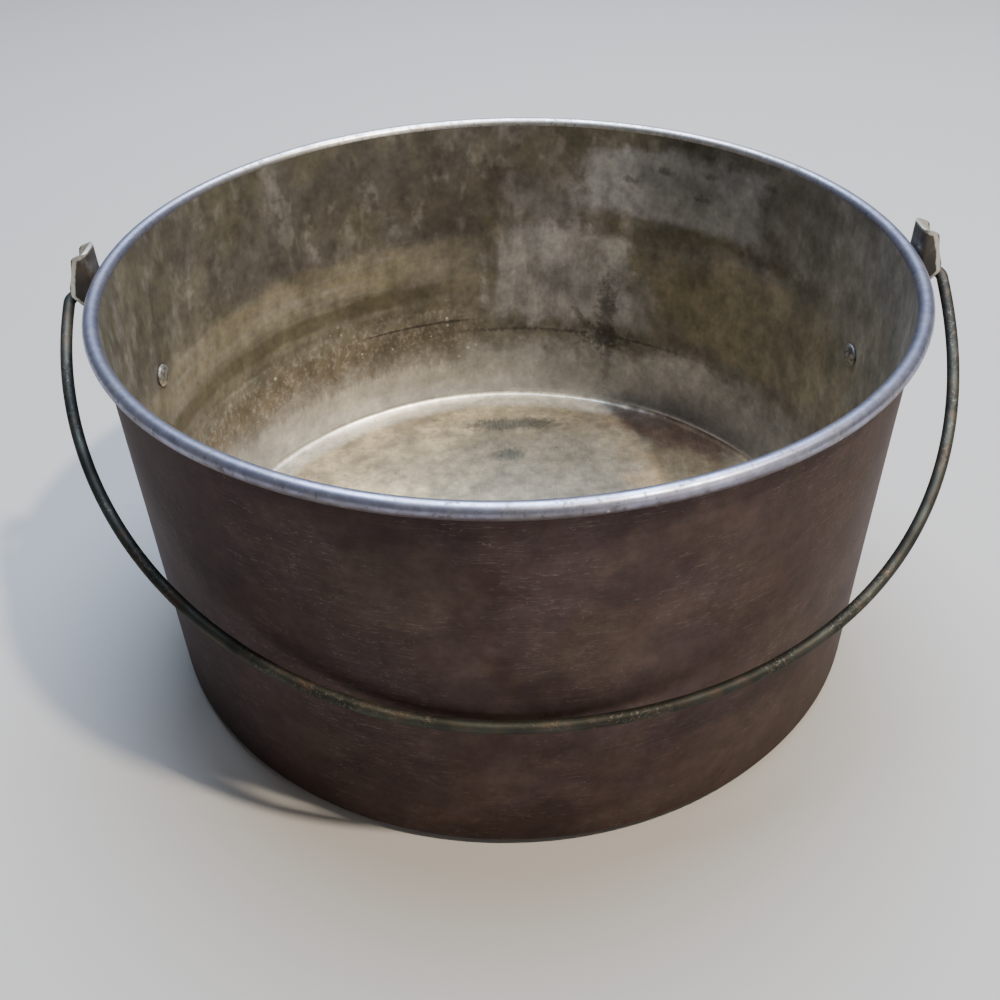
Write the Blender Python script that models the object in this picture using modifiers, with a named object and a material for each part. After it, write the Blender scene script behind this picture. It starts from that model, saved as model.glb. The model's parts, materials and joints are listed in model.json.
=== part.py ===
"""A low, wide metal pail with a rolled rim, two riveted ears and a wire bail.

The pail stands on Z = 0 with its axis on Z. The ears lie on the X axis and the
bail rests against the front of the wall, on the -Y side. Lengths are in metres.
"""
import math

import bmesh
import bpy
from mathutils import Matrix, Vector

MM = 0.001

# Pail body, one drawn sheet
RIM_RADIUS = 115.0 * MM
PAIL_HEIGHT = 118.5 * MM
SHEET = 0.9 * MM
BEAD_DIAMETER = 4.2 * MM
BEAD_TIP_GAP = 0.35 * MM
CORNER_RADIUS = 3.5 * MM
PAIL_SEGMENTS = 92
BEAD_STEPS = 11
CORNER_STEPS = 4

# Clearances between pieces that touch on the real pail
SEAT_GAP = 0.3 * MM
EAR_RIM_GAP = 0.4 * MM
PIVOT_CLEARANCE = 0.4 * MM
BAIL_LEG_CLEARANCE = 0.5 * MM
PIN_WALL_GAP = 1.5 * MM

# Bail wire; its right side is bent out a little further than its left
WIRE_DIAMETER = 3.2 * MM
WIRE_BEND_RADIUS = 3.2 * MM
WIRE_BEVEL_RESOLUTION = 4
BAIL_EXTRA_DEPTH = 3.3 * MM
BAIL_BULGE_LEFT = 0.0 * MM
BAIL_BULGE_RIGHT = 4.3 * MM
BAIL_STEPS = 48
BEND_STEPS = 6

# Rivets, two to each ear
RIVET_SHANK_DIAMETER = 4.0 * MM
RIVET_HEAD_DIAMETER = 7.2 * MM
RIVET_HEAD_HEIGHT = 1.7 * MM
RIVET_SPACING = 28.0 * MM
RIVET_ABOVE_FOOT = 7.0 * MM
RIVET_SEGMENTS = 20
RIVET_HEAD_STEPS = 4

# Ears: a riveted foot plate, a step out past the bead and a folded channel
EAR_SHEET = 1.2 * MM
EAR_FOOT_BELOW_RIM = 52.0 * MM
EAR_FOOT_SIDE = 14.0 * MM
EAR_FOOT_MARGIN = 4.5 * MM
EAR_CORNER_RADIUS = 6.0 * MM
EAR_ABOVE_RIM = 4.8 * MM
PIVOT_BELOW_RIM = 8.9 * MM
PIVOT_HOLE_SEGMENTS = 24
STEP_TOP_BELOW_PIVOT = 6.2 * MM
STEP_SLOPE = 1.5
STRAP_INSET = 0.1 * MM
STRAP_BEND_HEIGHT = 0.5 * MM
STRAP_BEND_INSET = 0.2 * MM
CHANNEL_SIDE_ROOM = 1.8 * MM
CHANNEL_START_ABOVE_STEP = 0.4 * MM
CHANNEL_FOLD_RADIUS = 0.9 * MM
CHANNEL_DEPTH_AT_KNEE = 7.0 * MM
CHANNEL_DEPTH_AT_TOP = 4.4 * MM

# Outline of the channel's side walls, as heights above the pivot and corner radii
KNEE_BOTTOM_ABOVE_PIVOT = 1.3 * MM
KNEE_TOP_ABOVE_PIVOT = 3.8 * MM
SHOULDER_ABOVE_PIVOT = 7.7 * MM
SHOULDER_INSET = 1.5 * MM
KNEE_BOTTOM_ROUND = 0.3 * MM
KNEE_TOP_ROUND = 1.0 * MM
SHOULDER_ROUND = 4.0 * MM
TOP_LIP_ROUND = 0.8 * MM
TOP_BACK_ROUND = 0.3 * MM

# Values that follow from the ones above
WALL_INNER = RIM_RADIUS - BEAD_DIAMETER
WALL_OUTER = WALL_INNER + SHEET
WIRE_RADIUS = WIRE_DIAMETER / 2
PIVOT_Z = PAIL_HEIGHT - PIVOT_BELOW_RIM
EAR_FOOT_INNER = WALL_OUTER + SEAT_GAP
EAR_FOOT_OUTER = EAR_FOOT_INNER + EAR_SHEET
EAR_FOOT_Z = PAIL_HEIGHT - EAR_FOOT_BELOW_RIM
EAR_FOOT_WIDTH = RIVET_SPACING + 2 * EAR_FOOT_MARGIN
EAR_CHANNEL_WIDTH = WIRE_DIAMETER + 2 * (CHANNEL_SIDE_ROOM + EAR_SHEET)
EAR_TOP_Z = PAIL_HEIGHT + EAR_ABOVE_RIM
CHANNEL_INNER = RIM_RADIUS + EAR_RIM_GAP
CHANNEL_OUTER = CHANNEL_INNER + EAR_SHEET
KNEE_RADIUS = CHANNEL_INNER + CHANNEL_DEPTH_AT_KNEE
CHANNEL_LIP_RADIUS = CHANNEL_INNER + CHANNEL_DEPTH_AT_TOP
STEP_TOP_Z = PIVOT_Z - STEP_TOP_BELOW_PIVOT
STEP_BOTTOM_Z = STEP_TOP_Z - STEP_SLOPE * (CHANNEL_INNER - EAR_FOOT_INNER)
CHANNEL_START_Z = STEP_TOP_Z + CHANNEL_START_ABOVE_STEP
RIVET_Z = EAR_FOOT_Z + RIVET_ABOVE_FOOT
RIVET_AZIMUTH = math.asin(RIVET_SPACING / 2 / WALL_OUTER)
RIVET_HOLE_RADIUS = RIVET_SHANK_DIAMETER / 2 + SEAT_GAP
BAIL_HALF_SPAN = KNEE_RADIUS + BAIL_LEG_CLEARANCE + WIRE_RADIUS
BAIL_DEPTH = BAIL_HALF_SPAN + BAIL_EXTRA_DEPTH
BAIL_REST_ANGLE = math.acos((WALL_OUTER + SEAT_GAP + WIRE_RADIUS) / BAIL_DEPTH)

OVERLAP = 2.0 * MM
HOLE_CUTTER_LENGTH = 8.0 * MM
MERGE = 0.00002
SHARP_ANGLE = math.radians(35)
ARC_STEP = math.radians(15)

STEEL_INSIDE = (0.40, 0.37, 0.31)
STEEL_EAR = (0.30, 0.28, 0.24)
STEEL_RIVET = (0.45, 0.43, 0.38)
STEEL_WIRE = (0.07, 0.07, 0.065)


def clear_scene():
    for old in list(bpy.data.objects):
        bpy.data.objects.remove(old, do_unlink=True)


def make_collection(name):
    collection = bpy.data.collections.new(name)
    bpy.context.scene.collection.children.link(collection)
    return collection


def make_material(name, color, roughness, metallic):
    material = bpy.data.materials.new(name)
    material.use_nodes = True
    shader = material.node_tree.nodes["Principled BSDF"]
    shader.inputs["Base Color"].default_value = (*color, 1.0)
    shader.inputs["Roughness"].default_value = roughness
    shader.inputs["Metallic"].default_value = metallic
    return material


def add_object(name, data, collection, material=None):
    thing = bpy.data.objects.new(name, data)
    collection.objects.link(thing)
    if material:
        data.materials.append(material)
    return thing


def as_cutter(thing):
    thing.hide_render = True
    thing.display_type = "WIRE"
    return thing


def arc(center, radius, start, end, steps):
    """Points of an arc in a plane, both ends included."""
    points = []
    for i in range(steps + 1):
        angle = start + (end - start) * i / steps
        points.append((center[0] + radius * math.cos(angle), center[1] + radius * math.sin(angle)))
    return points


def rounded_outline(corners):
    """A closed outline whose corners, given as (x, y, radius), are rounded."""
    outline = []
    count = len(corners)
    for i, (x, y, radius) in enumerate(corners):
        corner = Vector((x, y))
        if radius <= 0:
            outline.append((x, y))
            continue
        to_last = (Vector(corners[i - 1][:2]) - corner).normalized()
        to_next = (Vector(corners[(i + 1) % count][:2]) - corner).normalized()
        half = to_last.angle(to_next) / 2
        center = corner + (to_last + to_next).normalized() * (radius / math.sin(half))
        start = corner + to_last * (radius / math.tan(half)) - center
        end = corner + to_next * (radius / math.tan(half)) - center
        turn = start.angle_signed(end)
        steps = max(2, round(abs(turn) / ARC_STEP))
        first = math.atan2(start.y, start.x)
        outline += arc(center, radius, first, first - turn, steps)
    return outline


def poly_mesh(name, points):
    """An open chain of points in the XZ plane, ready for a Screw modifier."""
    mesh = bpy.data.meshes.new(name)
    shape = bmesh.new()
    verts = [shape.verts.new((x, 0.0, z)) for x, z in points]
    for a, b in zip(verts, verts[1:]):
        shape.edges.new((a, b))
    shape.to_mesh(mesh)
    shape.free()
    return mesh


def add_screw(thing, segments):
    screw = thing.modifiers.new("Turn", "SCREW")
    screw.axis = "Z"
    screw.angle = math.tau
    screw.steps = segments
    screw.render_steps = segments
    screw.use_merge_vertices = True
    screw.merge_threshold = MERGE
    screw.use_smooth_shade = True
    return screw


def add_boolean(thing, name, operation, operand):
    modifier = thing.modifiers.new(name, "BOOLEAN")
    modifier.operation = operation
    modifier.solver = "EXACT"
    modifier.object = operand
    return modifier


def prism(name, outline, thickness, matrix, collection):
    """A flat outline given thickness, as a mesh that a Boolean can use."""
    curve = bpy.data.curves.new(name + "_outline", "CURVE")
    curve.dimensions = "2D"
    curve.fill_mode = "BOTH"
    curve.extrude = thickness / 2
    spline = curve.splines.new("POLY")
    spline.points.add(len(outline) - 1)
    for point, (x, y) in zip(spline.points, outline):
        point.co = (x, y, 0.0, 1.0)
    spline.use_cyclic_u = True
    flat = bpy.data.objects.new(name + "_outline", curve)
    collection.objects.link(flat)
    flat.matrix_world = matrix
    bpy.context.view_layer.update()
    graph = bpy.context.evaluated_depsgraph_get()
    mesh = bpy.data.meshes.new_from_object(flat.evaluated_get(graph))
    mesh.name = name
    shape = bmesh.new()
    shape.from_mesh(mesh)
    bmesh.ops.remove_doubles(shape, verts=shape.verts, dist=MERGE)
    bmesh.ops.recalc_face_normals(shape, faces=shape.faces)
    shape.to_mesh(mesh)
    shape.free()
    solid = bpy.data.objects.new(name, mesh)
    collection.objects.link(solid)
    solid.matrix_world = matrix
    bpy.data.objects.remove(flat, do_unlink=True)
    bpy.data.curves.remove(curve)
    return as_cutter(solid)


def cylinder_cutter(name, radius, center, direction, segments, collection):
    mesh = bpy.data.meshes.new(name)
    shape = bmesh.new()
    bmesh.ops.create_cone(shape, cap_ends=True, segments=segments, radius1=radius, radius2=radius,
                          depth=HOLE_CUTTER_LENGTH)
    shape.to_mesh(mesh)
    shape.free()
    cutter = add_object(name, mesh, collection)
    cutter.location = center
    cutter.rotation_mode = "QUATERNION"
    cutter.rotation_quaternion = direction.to_track_quat("Z", "Y")
    return as_cutter(cutter)


def finish_shading(thing, sharp_angle=SHARP_ANGLE):
    """Smooth round faces and keep the folds and rims crisp."""
    thing.data.shade_smooth()
    thing.data.set_sharp_from_angle(angle=sharp_angle)


def rivet_places():
    """Names, azimuths and ear of the four rivets."""
    places = []
    for side, ear_azimuth in (("right", 0.0), ("left", math.pi)):
        front = -1.0 if side == "right" else 1.0
        for where, sign in (("front", front), ("back", -front)):
            places.append((f"{side}_ear_rivet_{where}", ear_azimuth + sign * RIVET_AZIMUTH))
    return places


def outward(azimuth):
    return Vector((math.cos(azimuth), math.sin(azimuth), 0.0))


def pail_profile():
    """The sheet's section, from the axis up the inside, round the bead and down the outside."""
    bead_radius = BEAD_DIAMETER / 2
    bead_center = (RIM_RADIUS - bead_radius, PAIL_HEIGHT - bead_radius)
    tip_angle = -math.acos((WALL_OUTER + BEAD_TIP_GAP - bead_center[0]) / bead_radius)
    inner_corner = CORNER_RADIUS - SHEET
    corner_center = (WALL_OUTER - CORNER_RADIUS, CORNER_RADIUS)
    points = [(0.0, SHEET)]
    points += arc(corner_center, inner_corner, -math.pi / 2, 0.0, CORNER_STEPS)
    points += arc(bead_center, bead_radius, math.pi, tip_angle, BEAD_STEPS)
    points += arc(bead_center, bead_radius - SHEET, tip_angle, math.pi, BEAD_STEPS)
    points += arc(corner_center, CORNER_RADIUS, 0.0, -math.pi / 2, CORNER_STEPS)
    points.append((0.0, 0.0))
    return points


def build_pail_body(collection, cutters, material):
    body = add_object("pail_body", poly_mesh("pail_body", pail_profile()), collection, material)
    add_screw(body, PAIL_SEGMENTS)
    for name, azimuth in rivet_places():
        direction = outward(azimuth)
        center = direction * WALL_OUTER + Vector((0.0, 0.0, RIVET_Z))
        hole = cylinder_cutter(name + "_wall_hole", RIVET_HOLE_RADIUS, center, direction,
                               RIVET_SEGMENTS, cutters)
        add_boolean(body, "Hole " + name, "DIFFERENCE", hole)
    return body


def ear_front_outline():
    """The strap seen from outside: a wide foot that narrows up to the channel, as (y, z)."""
    foot = EAR_FOOT_WIDTH / 2
    neck = EAR_CHANNEL_WIDTH / 2
    right = [
        (foot, EAR_FOOT_Z, EAR_CORNER_RADIUS),
        (foot, EAR_FOOT_Z + EAR_FOOT_SIDE, EAR_CORNER_RADIUS),
        (neck, STEP_BOTTOM_Z, EAR_CORNER_RADIUS),
        (neck, CHANNEL_START_Z + EAR_SHEET, 0.0),
    ]
    left = [(-y, z, radius) for y, z, radius in reversed(right)]
    return rounded_outline(right + left)


def channel_side_outline():
    """The channel seen along the rim: deep at the knee near the pivot, shallower at the top, as (x, z)."""
    corners = [
        (CHANNEL_INNER - OVERLAP, CHANNEL_START_Z, 0.0),
        (CHANNEL_OUTER, CHANNEL_START_Z, 0.0),
        (KNEE_RADIUS, PIVOT_Z + KNEE_BOTTOM_ABOVE_PIVOT, KNEE_BOTTOM_ROUND),
        (KNEE_RADIUS, PIVOT_Z + KNEE_TOP_ABOVE_PIVOT, KNEE_TOP_ROUND),
        (KNEE_RADIUS - SHOULDER_INSET, PIVOT_Z + SHOULDER_ABOVE_PIVOT, SHOULDER_ROUND),
        (CHANNEL_LIP_RADIUS, EAR_TOP_Z - EAR_SHEET, TOP_LIP_ROUND),
        (CHANNEL_OUTER, EAR_TOP_Z, TOP_BACK_ROUND),
        (CHANNEL_INNER - OVERLAP, EAR_TOP_Z, 0.0),
    ]
    return rounded_outline(corners)


def channel_plan_outline():
    """The folded channel seen from above, open outward, as (x, y)."""
    half = EAR_CHANNEL_WIDTH / 2
    mouth = KNEE_RADIUS + OVERLAP
    outer = CHANNEL_FOLD_RADIUS + EAR_SHEET
    corners = [
        (mouth, half, 0.0),
        (CHANNEL_INNER, half, outer),
        (CHANNEL_INNER, -half, outer),
        (mouth, -half, 0.0),
        (mouth, -half + EAR_SHEET, 0.0),
        (CHANNEL_OUTER, -half + EAR_SHEET, CHANNEL_FOLD_RADIUS),
        (CHANNEL_OUTER, half - EAR_SHEET, CHANNEL_FOLD_RADIUS),
        (mouth, half - EAR_SHEET, 0.0),
    ]
    return rounded_outline(corners)


def strap_section():
    """The strap's middle line from the channel down over the step to the foot, as (x, z)."""
    foot_line = EAR_FOOT_INNER + EAR_SHEET / 2
    channel_line = CHANNEL_INNER + EAR_SHEET / 2
    return [
        (channel_line, PIVOT_Z),
        (channel_line, STEP_TOP_Z + STRAP_BEND_HEIGHT),
        (channel_line - STRAP_BEND_INSET, STEP_TOP_Z),
        (foot_line + STRAP_BEND_INSET, STEP_BOTTOM_Z),
        (foot_line, STEP_BOTTOM_Z - STRAP_BEND_HEIGHT),
        (foot_line, EAR_FOOT_Z - OVERLAP),
    ]


def build_ear_mesh(cutters):
    """One ear on the +X side, cut from a turned strap and joined to its folded channel."""
    strap = add_object("ear_strap", poly_mesh("ear_strap", strap_section()), cutters)
    add_screw(strap, 2 * PAIL_SEGMENTS)
    skin = strap.modifiers.new("Thickness", "SOLIDIFY")
    skin.thickness = EAR_SHEET - 2 * STRAP_INSET
    skin.offset = 0.0
    skin.use_even_offset = True
    as_cutter(strap)

    facing_out = Matrix(((0, 0, 1), (1, 0, 0), (0, 1, 0))).to_4x4()
    along_rim = Matrix(((1, 0, 0), (0, 0, -1), (0, 1, 0))).to_4x4()
    front = prism("ear_front", ear_front_outline(), 2 * EAR_FOOT_WIDTH,
                  Matrix.Translation((CHANNEL_INNER, 0, 0)) @ facing_out, cutters)
    side = prism("ear_side", channel_side_outline(), 2 * EAR_CHANNEL_WIDTH, along_rim, cutters)
    height = EAR_TOP_Z - STEP_TOP_Z + 2 * OVERLAP
    middle = (EAR_TOP_Z + STEP_TOP_Z) / 2
    channel = prism("ear_channel", channel_plan_outline(), height, Matrix.Translation((0, 0, middle)), cutters)
    add_boolean(channel, "Side shape", "INTERSECT", side)

    pivot_hole = cylinder_cutter("ear_pivot_hole", WIRE_RADIUS + PIVOT_CLEARANCE,
                                 Vector((CHANNEL_OUTER, 0, PIVOT_Z)), Vector((1, 0, 0)),
                                 PIVOT_HOLE_SEGMENTS, cutters)
    add_boolean(strap, "Front shape", "INTERSECT", front)
    add_boolean(strap, "Channel", "UNION", channel)
    add_boolean(strap, "Pivot hole", "DIFFERENCE", pivot_hole)
    for where, sign in (("front", -1), ("back", 1)):
        direction = outward(sign * RIVET_AZIMUTH)
        center = direction * EAR_FOOT_OUTER + Vector((0.0, 0.0, RIVET_Z))
        hole = cylinder_cutter(f"ear_rivet_hole_{where}", RIVET_HOLE_RADIUS, center, direction,
                               RIVET_SEGMENTS, cutters)
        add_boolean(strap, f"Rivet hole {where}", "DIFFERENCE", hole)
    bpy.context.view_layer.update()
    graph = bpy.context.evaluated_depsgraph_get()
    mesh = bpy.data.meshes.new_from_object(strap.evaluated_get(graph))
    mesh.name = "ear"
    return mesh


def build_ears(collection, cutters, material):
    mesh = build_ear_mesh(cutters)
    mesh.materials.clear()
    mesh.materials.append(material)
    ears = []
    for name, azimuth in (("right_ear", 0.0), ("left_ear", math.pi)):
        ear = bpy.data.objects.new(name, mesh)
        collection.objects.link(ear)
        ear.rotation_euler = (0.0, 0.0, azimuth)
        finish_shading(ear)
        ears.append(ear)
    return ears


def rivet_profile():
    """Half section from the outer head's crown to the inner head's crown; Z points outward."""
    shank = RIVET_SHANK_DIAMETER / 2
    head = RIVET_HEAD_DIAMETER / 2
    outer_seat = EAR_FOOT_OUTER + SEAT_GAP
    inner_seat = WALL_INNER - SEAT_GAP
    crown_radius = (head ** 2 + RIVET_HEAD_HEIGHT ** 2) / (2 * RIVET_HEAD_HEIGHT)
    spread = math.asin(head / crown_radius)
    outer_center = (0.0, outer_seat + RIVET_HEAD_HEIGHT - crown_radius)
    inner_center = (0.0, inner_seat - RIVET_HEAD_HEIGHT + crown_radius)
    up = math.pi / 2
    points = arc(outer_center, crown_radius, up, up - spread, RIVET_HEAD_STEPS)
    points[0] = (0.0, points[0][1])
    points += [(shank, outer_seat), (shank, inner_seat)]
    points += arc(inner_center, crown_radius, spread - up, -up, RIVET_HEAD_STEPS)
    points[-1] = (0.0, points[-1][1])
    return points


def build_rivets(collection, material):
    rivets = []
    for name, azimuth in rivet_places():
        rivet = add_object(name, poly_mesh(name, rivet_profile()), collection, material)
        add_screw(rivet, RIVET_SEGMENTS)
        rivet.location = (0.0, 0.0, RIVET_Z)
        rivet.rotation_mode = "QUATERNION"
        rivet.rotation_quaternion = outward(azimuth).to_track_quat("Z", "Y")
        rivets.append(rivet)
    return rivets


def bail_reach(angle):
    """Distance of the wire from the middle of the pivot line; 0 and pi are the two ears."""
    bulge = BAIL_BULGE_LEFT if angle > math.pi / 2 else BAIL_BULGE_RIGHT
    reach = BAIL_HALF_SPAN + (BAIL_DEPTH - BAIL_HALF_SPAN) * math.sin(angle) ** 2
    return reach + bulge * math.sin(2 * angle) ** 2


def bail_path():
    """The wire's middle line in its own plane: X along the pivots, -Y away from them."""
    pin_end = WALL_OUTER + PIN_WALL_GAP
    bend_center_x = BAIL_HALF_SPAN - WIRE_BEND_RADIUS
    bend = arc((bend_center_x, -WIRE_BEND_RADIUS), WIRE_BEND_RADIUS, math.pi / 2, 0.0, BEND_STEPS)
    first = math.asin(2 * WIRE_BEND_RADIUS / BAIL_HALF_SPAN)
    path = [(pin_end, 0.0)] + bend
    for i in range(BAIL_STEPS + 1):
        angle = first + (math.pi - 2 * first) * i / BAIL_STEPS
        reach = bail_reach(angle)
        path.append((reach * math.cos(angle), -reach * math.sin(angle)))
    path += [(-x, y) for x, y in reversed(bend)]
    path.append((-pin_end, 0.0))
    return path


def build_bail(collection, material):
    pivot = bpy.data.objects.new("bail_pivot", None)
    collection.objects.link(pivot)
    pivot.location = (0.0, 0.0, PIVOT_Z)
    curve = bpy.data.curves.new("bail", "CURVE")
    curve.dimensions = "3D"
    curve.bevel_depth = WIRE_RADIUS
    curve.bevel_resolution = WIRE_BEVEL_RESOLUTION
    curve.use_fill_caps = True
    path = bail_path()
    spline = curve.splines.new("POLY")
    spline.points.add(len(path) - 1)
    for point, (x, y) in zip(spline.points, path):
        point.co = (x, y, 0.0, 1.0)
    bail = add_object("bail", curve, collection, material)
    bail.parent = pivot
    bail.rotation_euler = (BAIL_REST_ANGLE, 0.0, 0.0)
    return bail


def main():
    clear_scene()
    pail = make_collection("weathered_metal_bucket")
    cutters = make_collection("cutters")
    body = build_pail_body(pail, cutters, make_material("pail_sheet", STEEL_INSIDE, 0.5, 0.8))
    finish_shading(body)
    build_ears(pail, cutters, make_material("ear_sheet", STEEL_EAR, 0.5, 0.8))
    build_rivets(pail, make_material("rivet_steel", STEEL_RIVET, 0.4, 0.9))
    build_bail(pail, make_material("bail_wire", STEEL_WIRE, 0.45, 0.7))
    bpy.context.view_layer.update()


main()
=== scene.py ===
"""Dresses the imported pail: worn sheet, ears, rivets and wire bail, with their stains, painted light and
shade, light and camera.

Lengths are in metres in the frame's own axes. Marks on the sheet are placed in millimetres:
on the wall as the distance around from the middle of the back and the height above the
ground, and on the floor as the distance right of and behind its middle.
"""
import json
import math
from functools import cached_property

import bmesh
import bpy
from bpy.props import FloatProperty, FloatVectorProperty, IntProperty, PointerProperty
from bpy.types import NodeSocket, Operator, Panel, PropertyGroup
from mathutils import Matrix, Vector, noise


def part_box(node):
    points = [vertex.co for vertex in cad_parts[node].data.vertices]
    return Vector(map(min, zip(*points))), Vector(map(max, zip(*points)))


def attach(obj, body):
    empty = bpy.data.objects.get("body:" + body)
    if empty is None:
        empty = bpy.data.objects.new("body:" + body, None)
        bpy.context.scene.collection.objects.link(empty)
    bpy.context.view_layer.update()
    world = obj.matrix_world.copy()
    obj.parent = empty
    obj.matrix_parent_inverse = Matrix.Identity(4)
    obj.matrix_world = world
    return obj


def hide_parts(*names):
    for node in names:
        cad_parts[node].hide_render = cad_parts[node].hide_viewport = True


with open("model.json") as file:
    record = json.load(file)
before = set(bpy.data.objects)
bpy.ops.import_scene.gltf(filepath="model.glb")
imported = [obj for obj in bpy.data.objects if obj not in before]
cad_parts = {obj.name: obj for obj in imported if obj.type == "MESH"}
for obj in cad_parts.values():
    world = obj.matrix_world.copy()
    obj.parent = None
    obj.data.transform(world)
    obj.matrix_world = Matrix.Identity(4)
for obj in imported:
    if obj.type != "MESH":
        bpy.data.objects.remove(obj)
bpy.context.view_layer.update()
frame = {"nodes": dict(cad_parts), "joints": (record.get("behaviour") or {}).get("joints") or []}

bl_info = {
    "name": "Weathered Metal Pail",
    "version": (1, 0, 0),
    "blender": (4, 5, 0),
    "location": "View3D > Sidebar > Pail",
    "description": "Dresses a low metal pail with worn sheet, riveted ears and a wire bail",
    "category": "Object",
}

MM = 0.001
PAIL_BODY = "pail"
BAIL_BODY = "bail"
BODY_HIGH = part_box("pail_body")[1]
BAIL_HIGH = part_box("bail")[1]
PIVOT_Z = frame["joints"][0]["pos_m"][2]
# How far the worn rim stays inside the solid's, and how far the wire's tips are rubbed round
RIM_INSET = 0.05 * MM
TIP_EASE = 0.25 * MM

# Millimetres: the wall's inner radius, along which the marks around it are measured
UNROLL_RADIUS = 110.8

# Millimetres from the pail's middle and above the ground, up and over the side of an ear
EAR_OUTLINE = ((116.6, 103.8), (122.4, 110.9), (122.4, 113.4), (120.9, 117.3), (119.8, 122.1),
               (116.6, 123.3))

# The direction of each rivet's ear from the pail's middle, and the side of the ear that it is on
RIVETS = {
    "right_ear_rivet_front": (0.0, -1.0),
    "right_ear_rivet_back": (0.0, 1.0),
    "left_ear_rivet_front": (math.pi, 1.0),
    "left_ear_rivet_back": (math.pi, -1.0),
}


def length_property(label, description, default):
    return FloatProperty(name=label, description=description, default=default, min=0.0,
                         precision=4, subtype="DISTANCE", unit="LENGTH")


def colour_property(label, description, default):
    return FloatVectorProperty(name=label, description=description, default=default, size=3,
                               min=0.0, max=1.0, subtype="COLOR")


def power_property(label, description, default):
    return FloatProperty(name=label, description=description, default=default, min=0.0,
                         subtype="POWER", unit="POWER")


class PailSizes(PropertyGroup):
    """Sizes of the pail, its rivets and its bail"""
    rim_radius: length_property("Rim Radius", "Outside radius of the rolled rim", BODY_HIGH[0] - RIM_INSET)
    height: length_property("Height", "Height of the rim's top above the ground", BODY_HIGH[2])
    sheet: length_property("Sheet", "Thickness of the pail's sheet", 0.9 * MM)
    bead: length_property("Bead", "Width of the rolled rim", 4.2 * MM)
    bead_tip_gap: length_property("Bead Tip Gap", "Gap between the roll's edge and the wall", 0.35 * MM)
    corner: length_property("Corner", "Outside radius of the corner at the floor", 3.5 * MM)
    unevenness: length_property("Unevenness", "How far the worn sheet wanders inward", 0.28 * MM)
    segments: IntProperty(name="Segments", description="Faces around the pail", default=256, min=32)
    rivet_head: length_property("Rivet Head", "Diameter of a rivet's head", 7.2 * MM)
    rivet_crown: length_property("Rivet Crown", "Height of a rivet's head", 1.7 * MM)
    rivet_shank: length_property("Rivet Shank", "Diameter of a rivet's shank", 4.0 * MM)
    rivet_spacing: length_property("Rivet Spacing", "Distance between an ear's two rivets", 28.0 * MM)
    rivet_height: length_property("Rivet Height", "Height of the rivets above the ground", 73.5 * MM)
    ear_sheet: length_property("Ear Sheet", "Thickness of an ear's sheet", 1.2 * MM)
    ear_edge: length_property("Ear Edge", "Width of the rubbed edge of an ear", 0.16 * MM)
    seat_gap: length_property("Seat Gap", "Gap between a rivet's head and what it holds", 0.3 * MM)
    wire: length_property("Wire", "Diameter of the bail's wire", 3.2 * MM)
    wire_bend: length_property("Wire Bend", "Radius of the bends beside the ears", 3.2 * MM)
    bail_half_span: length_property("Bail Half Span", "From the axis to a leg of the bail",
                                    BAIL_HIGH[0] - 1.6 * MM)
    bail_extra_depth: length_property("Bail Extra Depth", "Depth of the bail beyond its half span", 3.3 * MM)
    bail_bulge: length_property("Bail Bulge", "How far the right side is bent out", 4.3 * MM)
    pin_end: length_property("Pin End", "From the axis to the tip of the bail's end", 113.2 * MM)


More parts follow.
